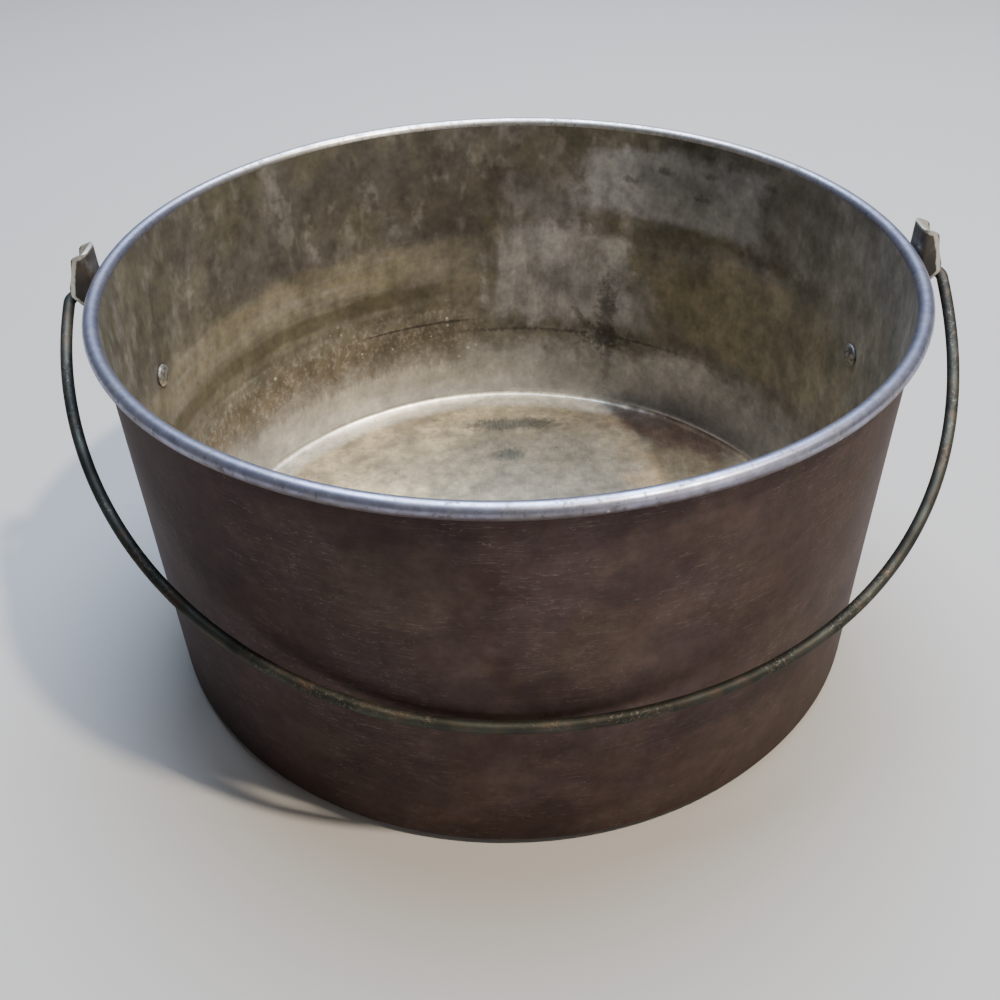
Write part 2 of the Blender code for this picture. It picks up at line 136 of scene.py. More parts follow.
class PailColours(PropertyGroup):
    """Colours of the metal, of what has dried on it, and of painted light and shade"""
    clean_metal: colour_property("Clean Metal", "Dull metal that has stayed clean", (0.43, 0.435, 0.445))
    # Painted reflection: a blue sky tint in the rubbed rim metal's colour
    rubbed_metal_and_sky_reflection: colour_property("Rubbed Metal And Sky Reflection", "Metal rubbed bright on the rim, tinted by a painted sky reflection", (0.40, 0.415, 0.55))
    grey_tarnish: colour_property("Grey Tarnish", "Tarnish of the upper wall", (0.094, 0.088, 0.076))
    mid_tarnish: colour_property("Mid Tarnish", "Tarnish of the middle of the wall", (0.180, 0.168, 0.144))
    dark_tarnish: colour_property("Dark Tarnish", "Darkest clouds of tarnish", (0.070, 0.060, 0.053))
    olive_tint: colour_property("Olive Tint", "Yellow green cast in the tarnish", (0.150, 0.140, 0.090))
    violet_tint: colour_property("Violet Tint", "Violet grey cast in the tarnish", (0.150, 0.138, 0.142))
    olive_stain: colour_property("Olive Stain", "Olive brown film", (0.240, 0.210, 0.130))
    olive_dark: colour_property("Dark Olive", "Dark olive scum", (0.092, 0.079, 0.048))
    tan_stain: colour_property("Tan Stain", "Tan residue of an old water line", (0.250, 0.225, 0.172))
    brown_stain: colour_property("Brown Stain", "Red brown rust stain", (0.150, 0.078, 0.045))
    # Also the brown below the rim, where it stands for tarnish and a painted reflection of the ground
    brown_tint: colour_property("Brown Tint", "Brown cast of the outside", (0.080, 0.048, 0.034))
    # Also the painted shade round the ears' pins
    black_stain_and_shade: colour_property("Black Stain And Shade", "Nearly black scum and painted shade", (0.045, 0.041, 0.036))
    grey_film: colour_property("Grey Film", "Pale violet grey film", (0.335, 0.340, 0.372))
    chalk: colour_property("Chalk", "Chalky runs and dust", (0.37, 0.36, 0.345))
    # Also the painted highlight on the back of the rim
    lime: colour_property("Lime", "Pale dried specks of lime", (0.74, 0.70, 0.62))
    # Painted highlight along the corner where the wall meets the floor
    corner_highlight: colour_property("Corner Highlight", "Painted highlight around the corner at the floor",
                                  (0.95, 0.90, 0.78))
    spatter: colour_property("Spatter", "Brown grey dried spatter", (0.120, 0.100, 0.068))
    floor_metal: colour_property("Floor Metal", "Pale beige metal of the floor", (0.74, 0.600, 0.370))
    floor_cloud: colour_property("Floor Cloud", "Grey green clouds on the floor", (0.175, 0.152, 0.116))
    # Brown film that also paints the shade on the floor's right
    floor_film_and_shade: colour_property("Floor Film And Shade", "Brown film on the shaded side of the floor",
                                (0.265, 0.178, 0.086))
    floor_smear: colour_property("Floor Smear", "Dark grey green smears on the floor", (0.095, 0.090, 0.070))
    outside: colour_property("Outside", "Brown grey patina of the outside", (0.076, 0.052, 0.050))
    # Also the painted shade on the outside's sides, under the rim and at the ground
    outside_dark_and_shade: colour_property("Outside Dark And Shade", "Dark clouds and painted shade of the outside", (0.027, 0.0175, 0.0165))
    # Painted shade, darker and warmer, on the outside's right side
    outside_warm_shade: colour_property("Outside Warm Shade", "Painted warm shade of the outside's right", (0.050, 0.036, 0.021))
    outside_rubbed: colour_property("Outside Rubbed", "Rubbed places of the outside", (0.110, 0.078, 0.062))
    scratch: colour_property("Scratch", "Fresh scratches of the outside", (0.26, 0.23, 0.19))
    ear: colour_property("Ear", "Tarnished steel of the ears", (0.085, 0.078, 0.063))
    # Painted highlight along the ears' free edges, on rubbed metal
    ear_edge: colour_property("Ear Edge", "Rubbed edges of the ears with a painted highlight", (0.62, 0.59, 0.50))
    wire: colour_property("Wire", "Dark oxide on the bail", (0.035, 0.035, 0.031))
    wire_rubbed: colour_property("Wire Rubbed", "Grey green rubbed steel of the bail", (0.090, 0.095, 0.080))


class StageSettings(PropertyGroup):
    """Floor, lights and camera"""
    floor_colour: colour_property("Floor", "Colour of the studio floor", (0.40, 0.385, 0.365))
    key_power: power_property("Key Power", "Power of the main light", 43.0)
    sky_power: power_property("Sky Power", "Power of the cool overhead light", 54.0)
    fill_power: power_property("Fill Power", "Power of the broad light at the front right", 4.5)
    room_light: FloatProperty(name="Room Light", description="Strength of the even light all round",
                              default=0.13, min=0.0)
    lens: FloatProperty(name="Lens", description="Focal length on a 36 mm wide frame", default=37.8,
                        min=1.0, subtype="DISTANCE_CAMERA")


FLOAT = "NodeSocketFloat"
VECTOR = "NodeSocketVector"
COLOUR = "NodeSocketColor"
NODES_IN_A_ROW = 14


class Board:
    """Adds and links shader nodes in one tree, in rows from left to right."""

    def __init__(self, tree):
        self.tree = tree
        self.count = 0

    def node(self, kind, label=""):
        made = self.tree.nodes.new(kind)
        made.location = (200 * (self.count % NODES_IN_A_ROW), -260 * (self.count // NODES_IN_A_ROW))
        made.label = label
        self.count += 1
        return made

    def feed(self, socket, value):
        """Links a socket to another one, or sets its own value."""
        if isinstance(value, NodeSocket):
            self.tree.links.new(value, socket)
        elif value is not None:
            if socket.type == "RGBA" and len(value) == 3:
                value = (*value, 1.0)
            socket.default_value = value

    def math(self, operation, a, b=None, c=None, clamp=False):
        made = self.node("ShaderNodeMath")
        made.operation = operation
        made.use_clamp = clamp
        for socket, value in zip(made.inputs, (a, b, c)):
            self.feed(socket, value)
        return made.outputs[0]

    def vector(self, operation, a, b=None, c=None):
        made = self.node("ShaderNodeVectorMath")
        made.operation = operation
        for socket, value in zip(made.inputs, (a, b, c)):
            self.feed(socket, value)
        return made.outputs["Value" if operation in ("DOT_PRODUCT", "LENGTH") else "Vector"]

    def scale(self, vector, factor):
        made = self.node("ShaderNodeVectorMath")
        made.operation = "SCALE"
        self.feed(made.inputs[0], vector)
        self.feed(made.inputs["Scale"], factor)
        return made.outputs[0]

    def combine(self, *parts):
        """A vector from its parts; a part that isn't given is 0."""
        made = self.node("ShaderNodeCombineXYZ")
        for socket, value in zip(made.inputs, parts):
            self.feed(socket, value)
        return made.outputs[0]

    def ramp(self, value, low, high, to_low=0.0, to_high=1.0):
        """A smooth step of a value from one range to another."""
        made = self.node("ShaderNodeMapRange")
        made.interpolation_type = "SMOOTHSTEP"
        for socket, item in zip(made.inputs, (value, low, high, to_low, to_high)):
            self.feed(socket, item)
        return made.outputs[0]

    def mix(self, factor, a, b):
        """Mixes two colours; a Mix node holds them in its sockets 6 and 7, and gives the result in 2."""
        made = self.node("ShaderNodeMix")
        made.data_type = "RGBA"
        for number, value in ((0, factor), (6, a), (7, b)):
            self.feed(made.inputs[number], value)
        return made.outputs[2]

    def noise(self, vector, scale, detail=3.0, roughness=0.55, distortion=0.0):
        made = self.node("ShaderNodeTexNoise")
        for socket, value in (("Vector", vector), ("Scale", scale), ("Detail", detail),
                              ("Roughness", roughness), ("Distortion", distortion)):
            self.feed(made.inputs[socket], value)
        return made.outputs["Fac"]

    def use(self, group, label="", **values):
        """Places a shared effect and feeds its inputs by name, with _ for a space."""
        made = self.node("ShaderNodeGroup", label)
        made.node_tree = group
        for name, value in values.items():
            self.feed(made.inputs[name.replace("_", " ")], value)
        return made.outputs


def new_effect(name, inputs, outputs):
    """An empty shared effect.

    Inputs are (name, default), where the default of a vector is None, and outputs are (name, kind).
    """
    tree = bpy.data.node_groups.new(name, "ShaderNodeTree")
    for label, default in inputs:
        kind = COLOUR if isinstance(default, tuple) else VECTOR if default is None else FLOAT
        socket = tree.interface.new_socket(label, in_out="INPUT", socket_type=kind)
        if kind == FLOAT:
            socket.default_value = default
        elif kind == COLOUR:
            socket.default_value = (*default, 1.0)
    for label, kind in outputs:
        tree.interface.new_socket(label, in_out="OUTPUT", socket_type=kind)
    board = Board(tree)
    return tree, board, board.node("NodeGroupInput").outputs, board.node("NodeGroupOutput").inputs


def unrolled_sheet():
    """Turns a place on the pail into millimetres around, up and out from the axis."""
    tree, board, given, result = new_effect(
        "Unrolled Sheet",
        [("Position", None)],
        [("Point", VECTOR), ("Around", FLOAT), ("Up", FLOAT), ("Out", FLOAT), ("Right", FLOAT),
         ("Behind", FLOAT)])
    point = board.vector("MULTIPLY", given["Position"], (1000.0, 1000.0, 1000.0))
    parts = board.node("ShaderNodeSeparateXYZ")
    board.feed(parts.inputs[0], point)
    bearing = board.math("ARCTAN2", parts.outputs["X"], parts.outputs["Y"])
    square = board.math("MULTIPLY", parts.outputs["X"], parts.outputs["X"])
    square = board.math("MULTIPLY_ADD", parts.outputs["Y"], parts.outputs["Y"], square)
    board.feed(result["Point"], point)
    board.feed(result["Around"], board.math("MULTIPLY", bearing, UNROLL_RADIUS))
    board.feed(result["Up"], parts.outputs["Z"])
    board.feed(result["Out"], board.math("SQRT", square))
    board.feed(result["Right"], parts.outputs["X"])
    board.feed(result["Behind"], parts.outputs["Y"])
    return tree


def tarnish_clouds():
    """Soft clouds of tarnish, drawn out upright where Stretch is over 1; Even is 0 on average."""
    tree, board, given, result = new_effect(
        "Tarnish Clouds",
        [("Point", None), ("Size", 20.0), ("Stretch", 1.0), ("Low", 0.4), ("High", 0.6), ("Seed", 0.0)],
        [("Mask", FLOAT), ("Even", FLOAT)])
    across = board.math("DIVIDE", 1.0, given["Size"])
    upright = board.math("DIVIDE", across, given["Stretch"])
    seed = board.combine(given["Seed"], given["Seed"], given["Seed"])
    place = board.vector("MULTIPLY_ADD", given["Point"], board.combine(across, across, upright), seed)
    value = board.noise(place, 1.0, 2.0, 0.66)
    board.feed(result["Mask"], board.ramp(value, given["Low"], given["High"]))
    board.feed(result["Even"], board.math("SUBTRACT", value, 0.5))
    return tree


def ragged_patch():
    """One stain with a ragged edge; Boxiness turns an oval into a rectangle.

    Along and Beside are the stain's two directions, each divided by its half size.
    """
    tree, board, given, result = new_effect(
        "Ragged Patch",
        [("Place", None), ("Center", None), ("Along", None), ("Beside", None), ("Ragged", 0.0),
         ("Boxiness", 0.0), ("Raggedness", 0.3), ("Inner", 0.7), ("Outer", 1.3)],
        [("Mask", FLOAT)])
    offset = board.vector("SUBTRACT", given["Place"], given["Center"])
    along = board.vector("DOT_PRODUCT", offset, given["Along"])
    beside = board.vector("DOT_PRODUCT", offset, given["Beside"])
    square = board.math("MULTIPLY_ADD", along, along, board.math("MULTIPLY", beside, beside))
    round_far = board.math("SQRT", square)
    square_far = board.math("MAXIMUM", board.math("ABSOLUTE", along), board.math("ABSOLUTE", beside))
    change = board.math("SUBTRACT", square_far, round_far)
    far = board.math("MULTIPLY_ADD", change, given["Boxiness"], round_far)
    far = board.math("MULTIPLY_ADD", given["Ragged"], given["Raggedness"], far)
    board.feed(result["Mask"], board.ramp(far, given["Inner"], given["Outer"], 1.0, 0.0))
    return tree


def oval_patch():
    """One upright or level oval stain or patch of painted shade, with a ragged edge.

    Shrink and Shift bring the oval to a circle of radius 1 about 0.
    """
    tree, board, given, result = new_effect(
        "Oval Patch",
        [("Place", None), ("Shrink", None), ("Shift", None), ("Ragged", 0.0), ("Raggedness", 0.3),
         ("Inner", 0.7), ("Outer", 1.3)],
        [("Mask", FLOAT)])
    offset = board.vector("MULTIPLY_ADD", given["Place"], given["Shrink"], given["Shift"])
    far = board.math("MULTIPLY_ADD", given["Ragged"], given["Raggedness"], board.vector("LENGTH", offset))
    board.feed(result["Mask"], board.ramp(far, given["Inner"], given["Outer"], 1.0, 0.0))
    return tree


def water_line():
    """A band left by standing water, level but for a slow drift, about Middle."""
    tree, board, given, result = new_effect(
        "Water Line",
        [("Across", 0.0), ("Up", 0.0), ("Sway", 0.0), ("Ragged", 0.0), ("Level", 50.0), ("Drift", 2.0),
         ("Raggedness", 0.5), ("Inner", 2.0), ("Outer", 3.0), ("Middle", 0.0), ("End Inner", 390.0),
         ("End Outer", 400.0)],
        [("Mask", FLOAT)])
    level = board.math("MULTIPLY_ADD", given["Sway"], given["Drift"], given["Level"])
    above = board.math("ABSOLUTE", board.math("SUBTRACT", given["Up"], level))
    above = board.math("MULTIPLY_ADD", given["Ragged"], given["Raggedness"], above)
    band = board.ramp(above, given["Inner"], given["Outer"], 1.0, 0.0)
    beyond = board.math("ABSOLUTE", board.math("SUBTRACT", given["Across"], given["Middle"]))
    ends = board.ramp(beyond, given["End Inner"], given["End Outer"], 1.0, 0.0)
    board.feed(result["Mask"], board.math("MULTIPLY", band, ends))
    return tree


def mottled_tone():
    """Lightens and darkens a colour in blotches, by Contrast either way."""
    tree, board, given, result = new_effect(
        "Mottled Tone",
        [("Colour", (0.5, 0.5, 0.5)), ("Even", 0.0), ("Contrast", 1.0)],
        [("Colour", COLOUR)])
    gain = board.math("MULTIPLY_ADD", given["Even"], given["Contrast"], 1.0)
    gain = board.math("MAXIMUM", gain, 0.15)
    board.feed(result["Colour"], board.scale(given["Colour"], gain))
    return tree


def dried_specks():
    """Small specks, of which Share keeps some at random."""
    tree, board, given, result = new_effect(
        "Dried Specks",
        [("Point", None), ("Spacing", 4.0), ("Size", 0.35), ("Share", 0.5), ("Seed", 0.0)],
        [("Mask", FLOAT)])
    grown = board.scale(given["Point"], board.math("DIVIDE", 1.0, given["Spacing"]))
    seed = board.combine(given["Seed"], given["Seed"], given["Seed"])
    cells = board.node("ShaderNodeTexVoronoi")
    board.feed(cells.inputs["Vector"], board.vector("ADD", grown, seed))
    board.feed(cells.inputs["Scale"], 1.0)
    parts = board.node("ShaderNodeSeparateColor")
    board.feed(parts.inputs[0], cells.outputs["Color"])
    kept = board.math("LESS_THAN", parts.outputs[0], given["Share"])
    size = board.math("MULTIPLY", given["Size"], board.ramp(parts.outputs[1], 0.0, 1.0, 0.5, 1.0))
    dot = board.ramp(cells.outputs["Distance"], board.math("MULTIPLY", size, 0.5), size, 1.0, 0.0)
    board.feed(result["Mask"], board.math("MULTIPLY", dot, kept))
    return tree


def hair_scratches():
    """Long thin scratches; Grain holds how tightly they pack along X, Y and Z."""
    tree, board, given, result = new_effect(
        "Hair Scratches",
        [("Point", None), ("Grain", None), ("Width", 0.03), ("Share", 0.4)],
        [("Mask", FLOAT)])
    place = board.vector("MULTIPLY", given["Point"], given["Grain"])
    value = board.noise(place, 1.0, 2.0, 0.5, 0.25)
    ridge = board.math("ABSOLUTE", board.math("SUBTRACT", value, 0.5))
    line = board.ramp(ridge, 0.0, given["Width"], 1.0, 0.0)
    where = board.noise(given["Point"], 0.045, 2.0)
    low = board.math("SUBTRACT", 0.75, board.math("MULTIPLY", given["Share"], 0.5))
    kept = board.ramp(where, board.math("SUBTRACT", low, 0.08), low)
    board.feed(result["Mask"], board.math("MULTIPLY", line, kept))
    return tree


def lay_stain():
    """Lays one stain, or one mark of painted light or shade, over the colour and dullness so far."""
    tree, board, given, result = new_effect(
        "Lay Stain",
        [("Colour", (0.5, 0.5, 0.5)), ("Dullness", 0.5), ("Mask", 0.0), ("Strength", 1.0),
         ("Stain", (0.1, 0.1, 0.1)), ("Stain Dullness", 0.8)],
        [("Colour", COLOUR), ("Dullness", FLOAT)])
    factor = board.math("MULTIPLY", given["Mask"], given["Strength"], clamp=True)
    board.feed(result["Colour"], board.mix(factor, given["Colour"], given["Stain"]))
    change = board.math("SUBTRACT", given["Stain Dullness"], given["Dullness"])
    board.feed(result["Dullness"], board.math("MULTIPLY_ADD", change, factor, given["Dullness"]))
    return tree


def effect(build):
    """A shared effect, made by its function the first time that a finish asks for it."""
    name = build.__name__.replace("_", " ").title()
    return bpy.data.node_groups.get(name) or build()


class Finish:
    """A metal finish in the making: its coordinates, and the colour and dullness laid so far.

    Its marks are placed in millimetres, across and up. Those two are around the wall and above the
    ground, unless the finish names others.
    """

    def __init__(self, name, colour, dullness, across="Around", up="Up"):
        self.material = bpy.data.materials.new(name)
        self.material.use_nodes = True
        self.board = Board(self.material.node_tree)
        self.shader = self.material.node_tree.nodes["Principled BSDF"]
        self.shader.location = (3200, 300)
        self.material.node_tree.nodes["Material Output"].location = (3500, 300)
        place = self.board.node("ShaderNodeTexCoord").outputs["Object"]
        self.at = self.board.use(effect(unrolled_sheet), "Where", Position=place)
        self.point = self.at["Point"]
        self.across = self.at[across]
        self.up = self.at[up]
        self.colour = tuple(colour)
        self.dullness = dullness

    def about_zero(self, value):
        """A noise spread out on both sides of 0."""
        return self.board.math("MULTIPLY_ADD", value, 4.0, -2.0)

    def grained(self, grain, detail, roughness):
        """A noise about 0 that is finer along the axes with the larger grain."""
        point = self.board.vector("MULTIPLY", self.point, grain)
        return self.about_zero(self.board.noise(point, 1.0, detail, roughness))

    @cached_property
    def fine(self):
        """Fine noise, for frayed edges and for the relief."""
        return self.board.noise(self.point, 0.5, 2.0, 0.68)

    @cached_property
    def frayed(self):
        """Fine noise about 0."""
        return self.about_zero(self.fine)

    @cached_property
    def ragged(self):
        """Coarse noise about 0, for the edges of large stains."""
        return self.about_zero(self.board.noise(self.point, 0.10, 3.0, 0.64))

    @cached_property
    def sway(self):
        """Very slow noise from -1 to 1, by which water lines rise and fall."""
        return self.board.math("MULTIPLY_ADD", self.board.noise(self.point, 0.013, 2.0), 2.0, -1.0)

    @cached_property
    def runs(self):
        """Noise about 0 that is drawn out upright."""
        return self.grained((0.42, 0.42, 0.10), 3.0, 0.65)

    @cached_property
    def layers(self):
        """Noise about 0 that is drawn out level."""
        return self.grained((0.030, 0.030, 0.30), 2.0, 0.6)

    @cached_property
    def place(self):
        """Millimetres across and up, as a vector."""
        return self.board.combine(self.across, self.up)

    def clouds(self, size, cover=0.5, softness=0.1, stretch=1.0, seed=0.0):
        """Clouds that cover about the given share of the surface."""
        level = 0.5 + 0.44 * (0.5 - cover)
        return self.board.use(effect(tarnish_clouds), "Clouds", Point=self.point, Size=size,
                              Stretch=stretch, Low=level - softness, High=level + softness,
                              Seed=seed)["Mask"]

    def mottle(self, size, contrast, stretch=1.0, seed=0.0):
        """Lightens and darkens the colour so far in clouds of a size."""
        even = self.board.use(effect(tarnish_clouds), "Blotches", Point=self.point, Size=size,
                              Stretch=stretch, Seed=seed)["Even"]
        self.shade(even, contrast)

    def shade(self, even, contrast):
        """Lightens and darkens the colour so far by a noise about 0."""
        self.colour = self.board.use(effect(mottled_tone), "Mottle", Colour=self.colour, Even=even,
                                     Contrast=contrast)["Colour"]

    def specks(self, spacing, size, share, seed):
        return self.board.use(effect(dried_specks), "Specks", Point=self.point, Spacing=spacing,
                              Size=size, Share=share, Seed=seed)["Mask"]

    def scratches(self, grain, width, share):
        return self.board.use(effect(hair_scratches), "Scratches", Point=self.point, Grain=grain,
                              Width=width, Share=share)["Mask"]

    def patch(self, label, place, size, turn=0.0, boxy=0.0, soft=0.3, ragged=0.3, rough=None):
        """A stain or patch of painted shade at a place, with its half sizes and its turn in degrees."""
        edge = {"Ragged": rough or self.ragged, "Raggedness": ragged, "Inner": 1.0 - soft,
                "Outer": 1.0 + soft}
        if not turn and not boxy:
            return self.board.use(effect(oval_patch), label, Place=self.place,
                                  Shrink=(1 / size[0], 1 / size[1], 0.0),
                                  Shift=(-place[0] / size[0], -place[1] / size[1], 0.0), **edge)["Mask"]
        cosine, sine = math.cos(math.radians(turn)), math.sin(math.radians(turn))
        return self.board.use(effect(ragged_patch), label, Place=self.place, Center=(*place, 0.0),
                              Along=(cosine / size[0], sine / size[0], 0.0),
                              Beside=(-sine / size[1], cosine / size[1], 0.0), Boxiness=boxy,
                              **edge)["Mask"]

    def line(self, label, level, thick, ends, fade=12.0, edge=1.0, drift=2.0, ragged=1.0, rough=None):
        """A level band of a given thickness between two places around the wall."""
        middle = (ends[0] + ends[1]) / 2
        reach = (ends[1] - ends[0]) / 2
        return self.board.use(effect(water_line), label, Across=self.across, Up=self.up, Sway=self.sway,
                              Ragged=rough or self.ragged, Level=level, Drift=drift, Raggedness=ragged,
                              Inner=thick / 2 - edge, Outer=thick / 2 + edge, Middle=middle,
                              End_Inner=reach - fade, End_Outer=reach + fade)["Mask"]

    def both(self, a, b):
        """What two masks have in common."""
        return self.board.math("MULTIPLY", a, b)

    def lay(self, label, mask, strength, colour, dullness=0.8):
        """Lays a stain, or painted light or shade, over the colour and dullness so far, where its mask is.
        """
        laid = self.board.use(effect(lay_stain), label, Colour=self.colour, Dullness=self.dullness,
                              Mask=mask, Strength=strength, Stain=tuple(colour), Stain_Dullness=dullness)
        self.colour = laid["Colour"]
        self.dullness = laid["Dullness"]

    def stain(self, label, place, size, strength, colour, dullness=0.8, **shape):
        """Lays one patch; shape takes what patch takes by name."""
        self.lay(label, self.patch(label, place, size, **shape), strength, colour, dullness)

    def band(self, label, level, thick, strength, colour, dullness=0.8, **shape):
        """Lays one line; shape takes what line takes by name."""
        self.lay(label, self.line(label, level, thick, **shape), strength, colour, dullness)

    def dim_shine(self, level, edge_colour):
        """Holds back the shine that the metal has where it is seen at a slant."""
        self.shader.inputs["Specular IOR Level"].default_value = level
        self.shader.inputs["Specular Tint"].default_value = (*edge_colour, 1.0)

    def done(self, smooth, rough, shiny, dull, relief, bump):
        """Feeds the shader: dullness runs from smooth and shiny metal to rough and dull film.

        Relief is the height of the fine unevenness in millimetres, and bump how strongly it shows.
        """
        board = self.board
        board.feed(self.shader.inputs["Base Color"], self.colour)
        board.feed(self.shader.inputs["Roughness"], board.ramp(self.dullness, 0.0, 1.0, smooth, rough))
        board.feed(self.shader.inputs["Metallic"], board.ramp(self.dullness, 0.0, 1.0, shiny, dull))
        made = board.node("ShaderNodeBump", "Relief")
        made.inputs["Strength"].default_value = bump
        made.inputs["Distance"].default_value = MM
        board.feed(made.inputs["Height"], board.math("MULTIPLY", self.fine, relief))
        board.feed(self.shader.inputs["Normal"], made.outputs[0])
        return self.material


def inside_wall_finish(colours):
    """Old water lines, films and scum on the inside of the wall, with a painted highlight along its foot at
    the corner.
    """
    finish = Finish("stained_inside_wall", colours.mid_tarnish, 0.5)
    board = finish.board
    ragged_up = board.math("MULTIPLY_ADD", finish.ragged, 5.0, finish.up)

    finish.lay("Upper tarnish", board.ramp(ragged_up, 68.0, 80.0), 0.9, colours.grey_tarnish, 0.6)
    finish.lay("Clean foot", board.ramp(ragged_up, 33.0, 20.0), 0.90, colours.clean_metal, 0.3)
    tinted = finish.clouds(32.0, softness=0.12, seed=3.0)
    above_foot = board.ramp(finish.up, 30.0, 50.0)
    finish.lay("Violet tint", above_foot, 0.30, colours.violet_tint, 0.6)
    finish.lay("Olive tint", finish.both(above_foot, tinted), 0.50, colours.olive_tint, 0.6)

    finish.stain("Wiped right side", (178, 66), (84, 84), 0.42, colours.chalk, 0.6, soft=0.4, ragged=0.15)
    finish.stain("Dark cloud behind", (-8, 89), (34, 14), 0.62, colours.dark_tarnish, 0.6, soft=0.5,
                 ragged=0.35)
    finish.stain("Dark cloud at the back left", (-58, 97), (26, 10), 0.35, colours.dark_tarnish, 0.6,
                 soft=0.5, ragged=0.4)
    finish.stain("Pale cloud on the right", (68, 97.5), (38, 14), 0.78, colours.grey_film, 0.5, turn=2,
                 boxy=0.6, soft=0.20, ragged=0.26)
    finish.stain("Dark beyond it", (126, 94), (19, 20), 0.25, colours.dark_tarnish, 0.6, soft=0.35,
                 ragged=0.2)
    finish.stain("Pale blotch", (17, 88), (13, 9), 0.35, colours.grey_film, soft=0.6, ragged=0.55)

    finish.stain("Olive film", (108, 56), (50, 20), 0.66, colours.olive_stain, 0.7, soft=0.24, ragged=0.25)
    finish.stain("Olive film at the ear", (168, 60), (34, 36), 0.25, colours.olive_stain, 0.6, soft=0.35,
                 ragged=0.2)
    finish.stain("Light streak", (92, 69), (34, 1.6), 0.35, colours.tan_stain, turn=-7, soft=0.6)
    finish.stain("Light streak below", (104, 60), (34, 1.4), 0.26, colours.tan_stain, turn=9, soft=0.6,
                 ragged=0.4)
    finish.band("Wavy shore", 83.0, 3.6, 0.62, colours.olive_dark, 0.75, ends=(34, 140), fade=8, edge=2.2,
                drift=2.5, ragged=3.0)

    strata = finish.line("Layers of old water lines", 57.0, 35.0, ends=(-225, -28), fade=24, edge=2.5,
                         drift=3.0, ragged=0.5)
    finish.band("Tan band", 65.0, 14.0, 0.82, colours.tan_stain, 0.55, ends=(-190, -26), fade=26, edge=2.4,
                drift=4.0, ragged=1.8)
    finish.lay("Pale layers", finish.both(strata, board.ramp(finish.layers, -0.05, 0.8)), 0.24,
               colours.chalk, 0.55)
    finish.lay("Dark layers", finish.both(strata, board.ramp(finish.layers, -0.05, -0.6)), 0.36,
               colours.olive_stain, 0.65)
    finish.band("Olive line", 52.0, 6.4, 0.76, colours.olive_dark, 0.75, ends=(-190, -18), fade=22,
                edge=1.2, drift=3.5, ragged=1.1)
    finish.band("Olive below it", 43.5, 11.0, 0.14, colours.olive_dark, 0.7, ends=(-200, -16), fade=24,
                edge=3.0, drift=2.5, ragged=1.6)
    finish.band("Faint line", 44.5, 2.4, 0.34, colours.olive_dark, 0.7, ends=(-185, -20), edge=1.1,
                drift=3.0, ragged=0.8)

    film = finish.patch("Grey violet film", (24, 57), (29, 21), boxy=0.6, soft=0.16, ragged=0.24)
    finish.lay("Grey violet film", film, 0.64, colours.grey_film, 0.55)
    finish.lay("Pale in the film", finish.both(film, board.ramp(finish.runs, -0.2, 0.5)), 0.42,
               colours.chalk, 0.6)
    finish.stain("Brightest film", (33, 72), (14, 5), 0.42, colours.chalk, 0.6, soft=0.6, ragged=0.5)
    finish.stain("Second film", (55, 47), (8, 13), 0.45, colours.grey_film, 0.6, soft=0.4, ragged=0.4)
    finish.stain("Upright shadow line", (-3.5, 62), (2.4, 18), 0.66, colours.olive_dark, 0.7, soft=0.5)

    spatter = finish.line("Spatter", 28.0, 19.0, ends=(-215, -14), fade=14, edge=2.2, ragged=3.4,
                          rough=finish.runs)
    finish.lay("Spatter", spatter, 0.66, colours.spatter, 0.75)
    finish.lay("Brown specks",
               finish.both(spatter, finish.clouds(2.0, cover=0.42, softness=0.08, stretch=1.5, seed=31.0)),
               0.18, colours.brown_stain, 0.85)
    dust = finish.line("Dust", 30.0, 30.0, ends=(-215, -8), fade=16, edge=6.0)
    finish.lay("Dust",
               finish.both(dust, finish.clouds(1.7, cover=0.34, softness=0.06, stretch=1.3, seed=33.0)),
               0.32, colours.chalk, 0.7)
    finish.lay("Pale specks", finish.both(dust, finish.specks(3.8, 0.26, 0.26, seed=5.0)), 0.60,
               colours.lime, 0.7)
    finish.band("Scum line", 37.6, 0.9, 0.9, colours.black_stain_and_shade, 0.8, ends=(-58, -14), fade=7, edge=0.3,
                drift=0.6, ragged=0.35, rough=finish.frayed)
    finish.band("Tide line", 32.2, 1.2, 0.62, colours.black_stain_and_shade, 0.75, ends=(-18, 84), fade=16, edge=0.6,
                ragged=0.9, rough=finish.frayed)
    finish.band("Tide shadow", 35.2, 5.0, 0.26, colours.dark_tarnish, 0.7, ends=(-10, 170), fade=20,
                edge=2.4, ragged=2.4)
    finish.band("Line in front", 33.0, 2.2, 0.5, colours.olive_dark, 0.7, ends=(190, 318), fade=20,
                edge=0.9, drift=3.0)

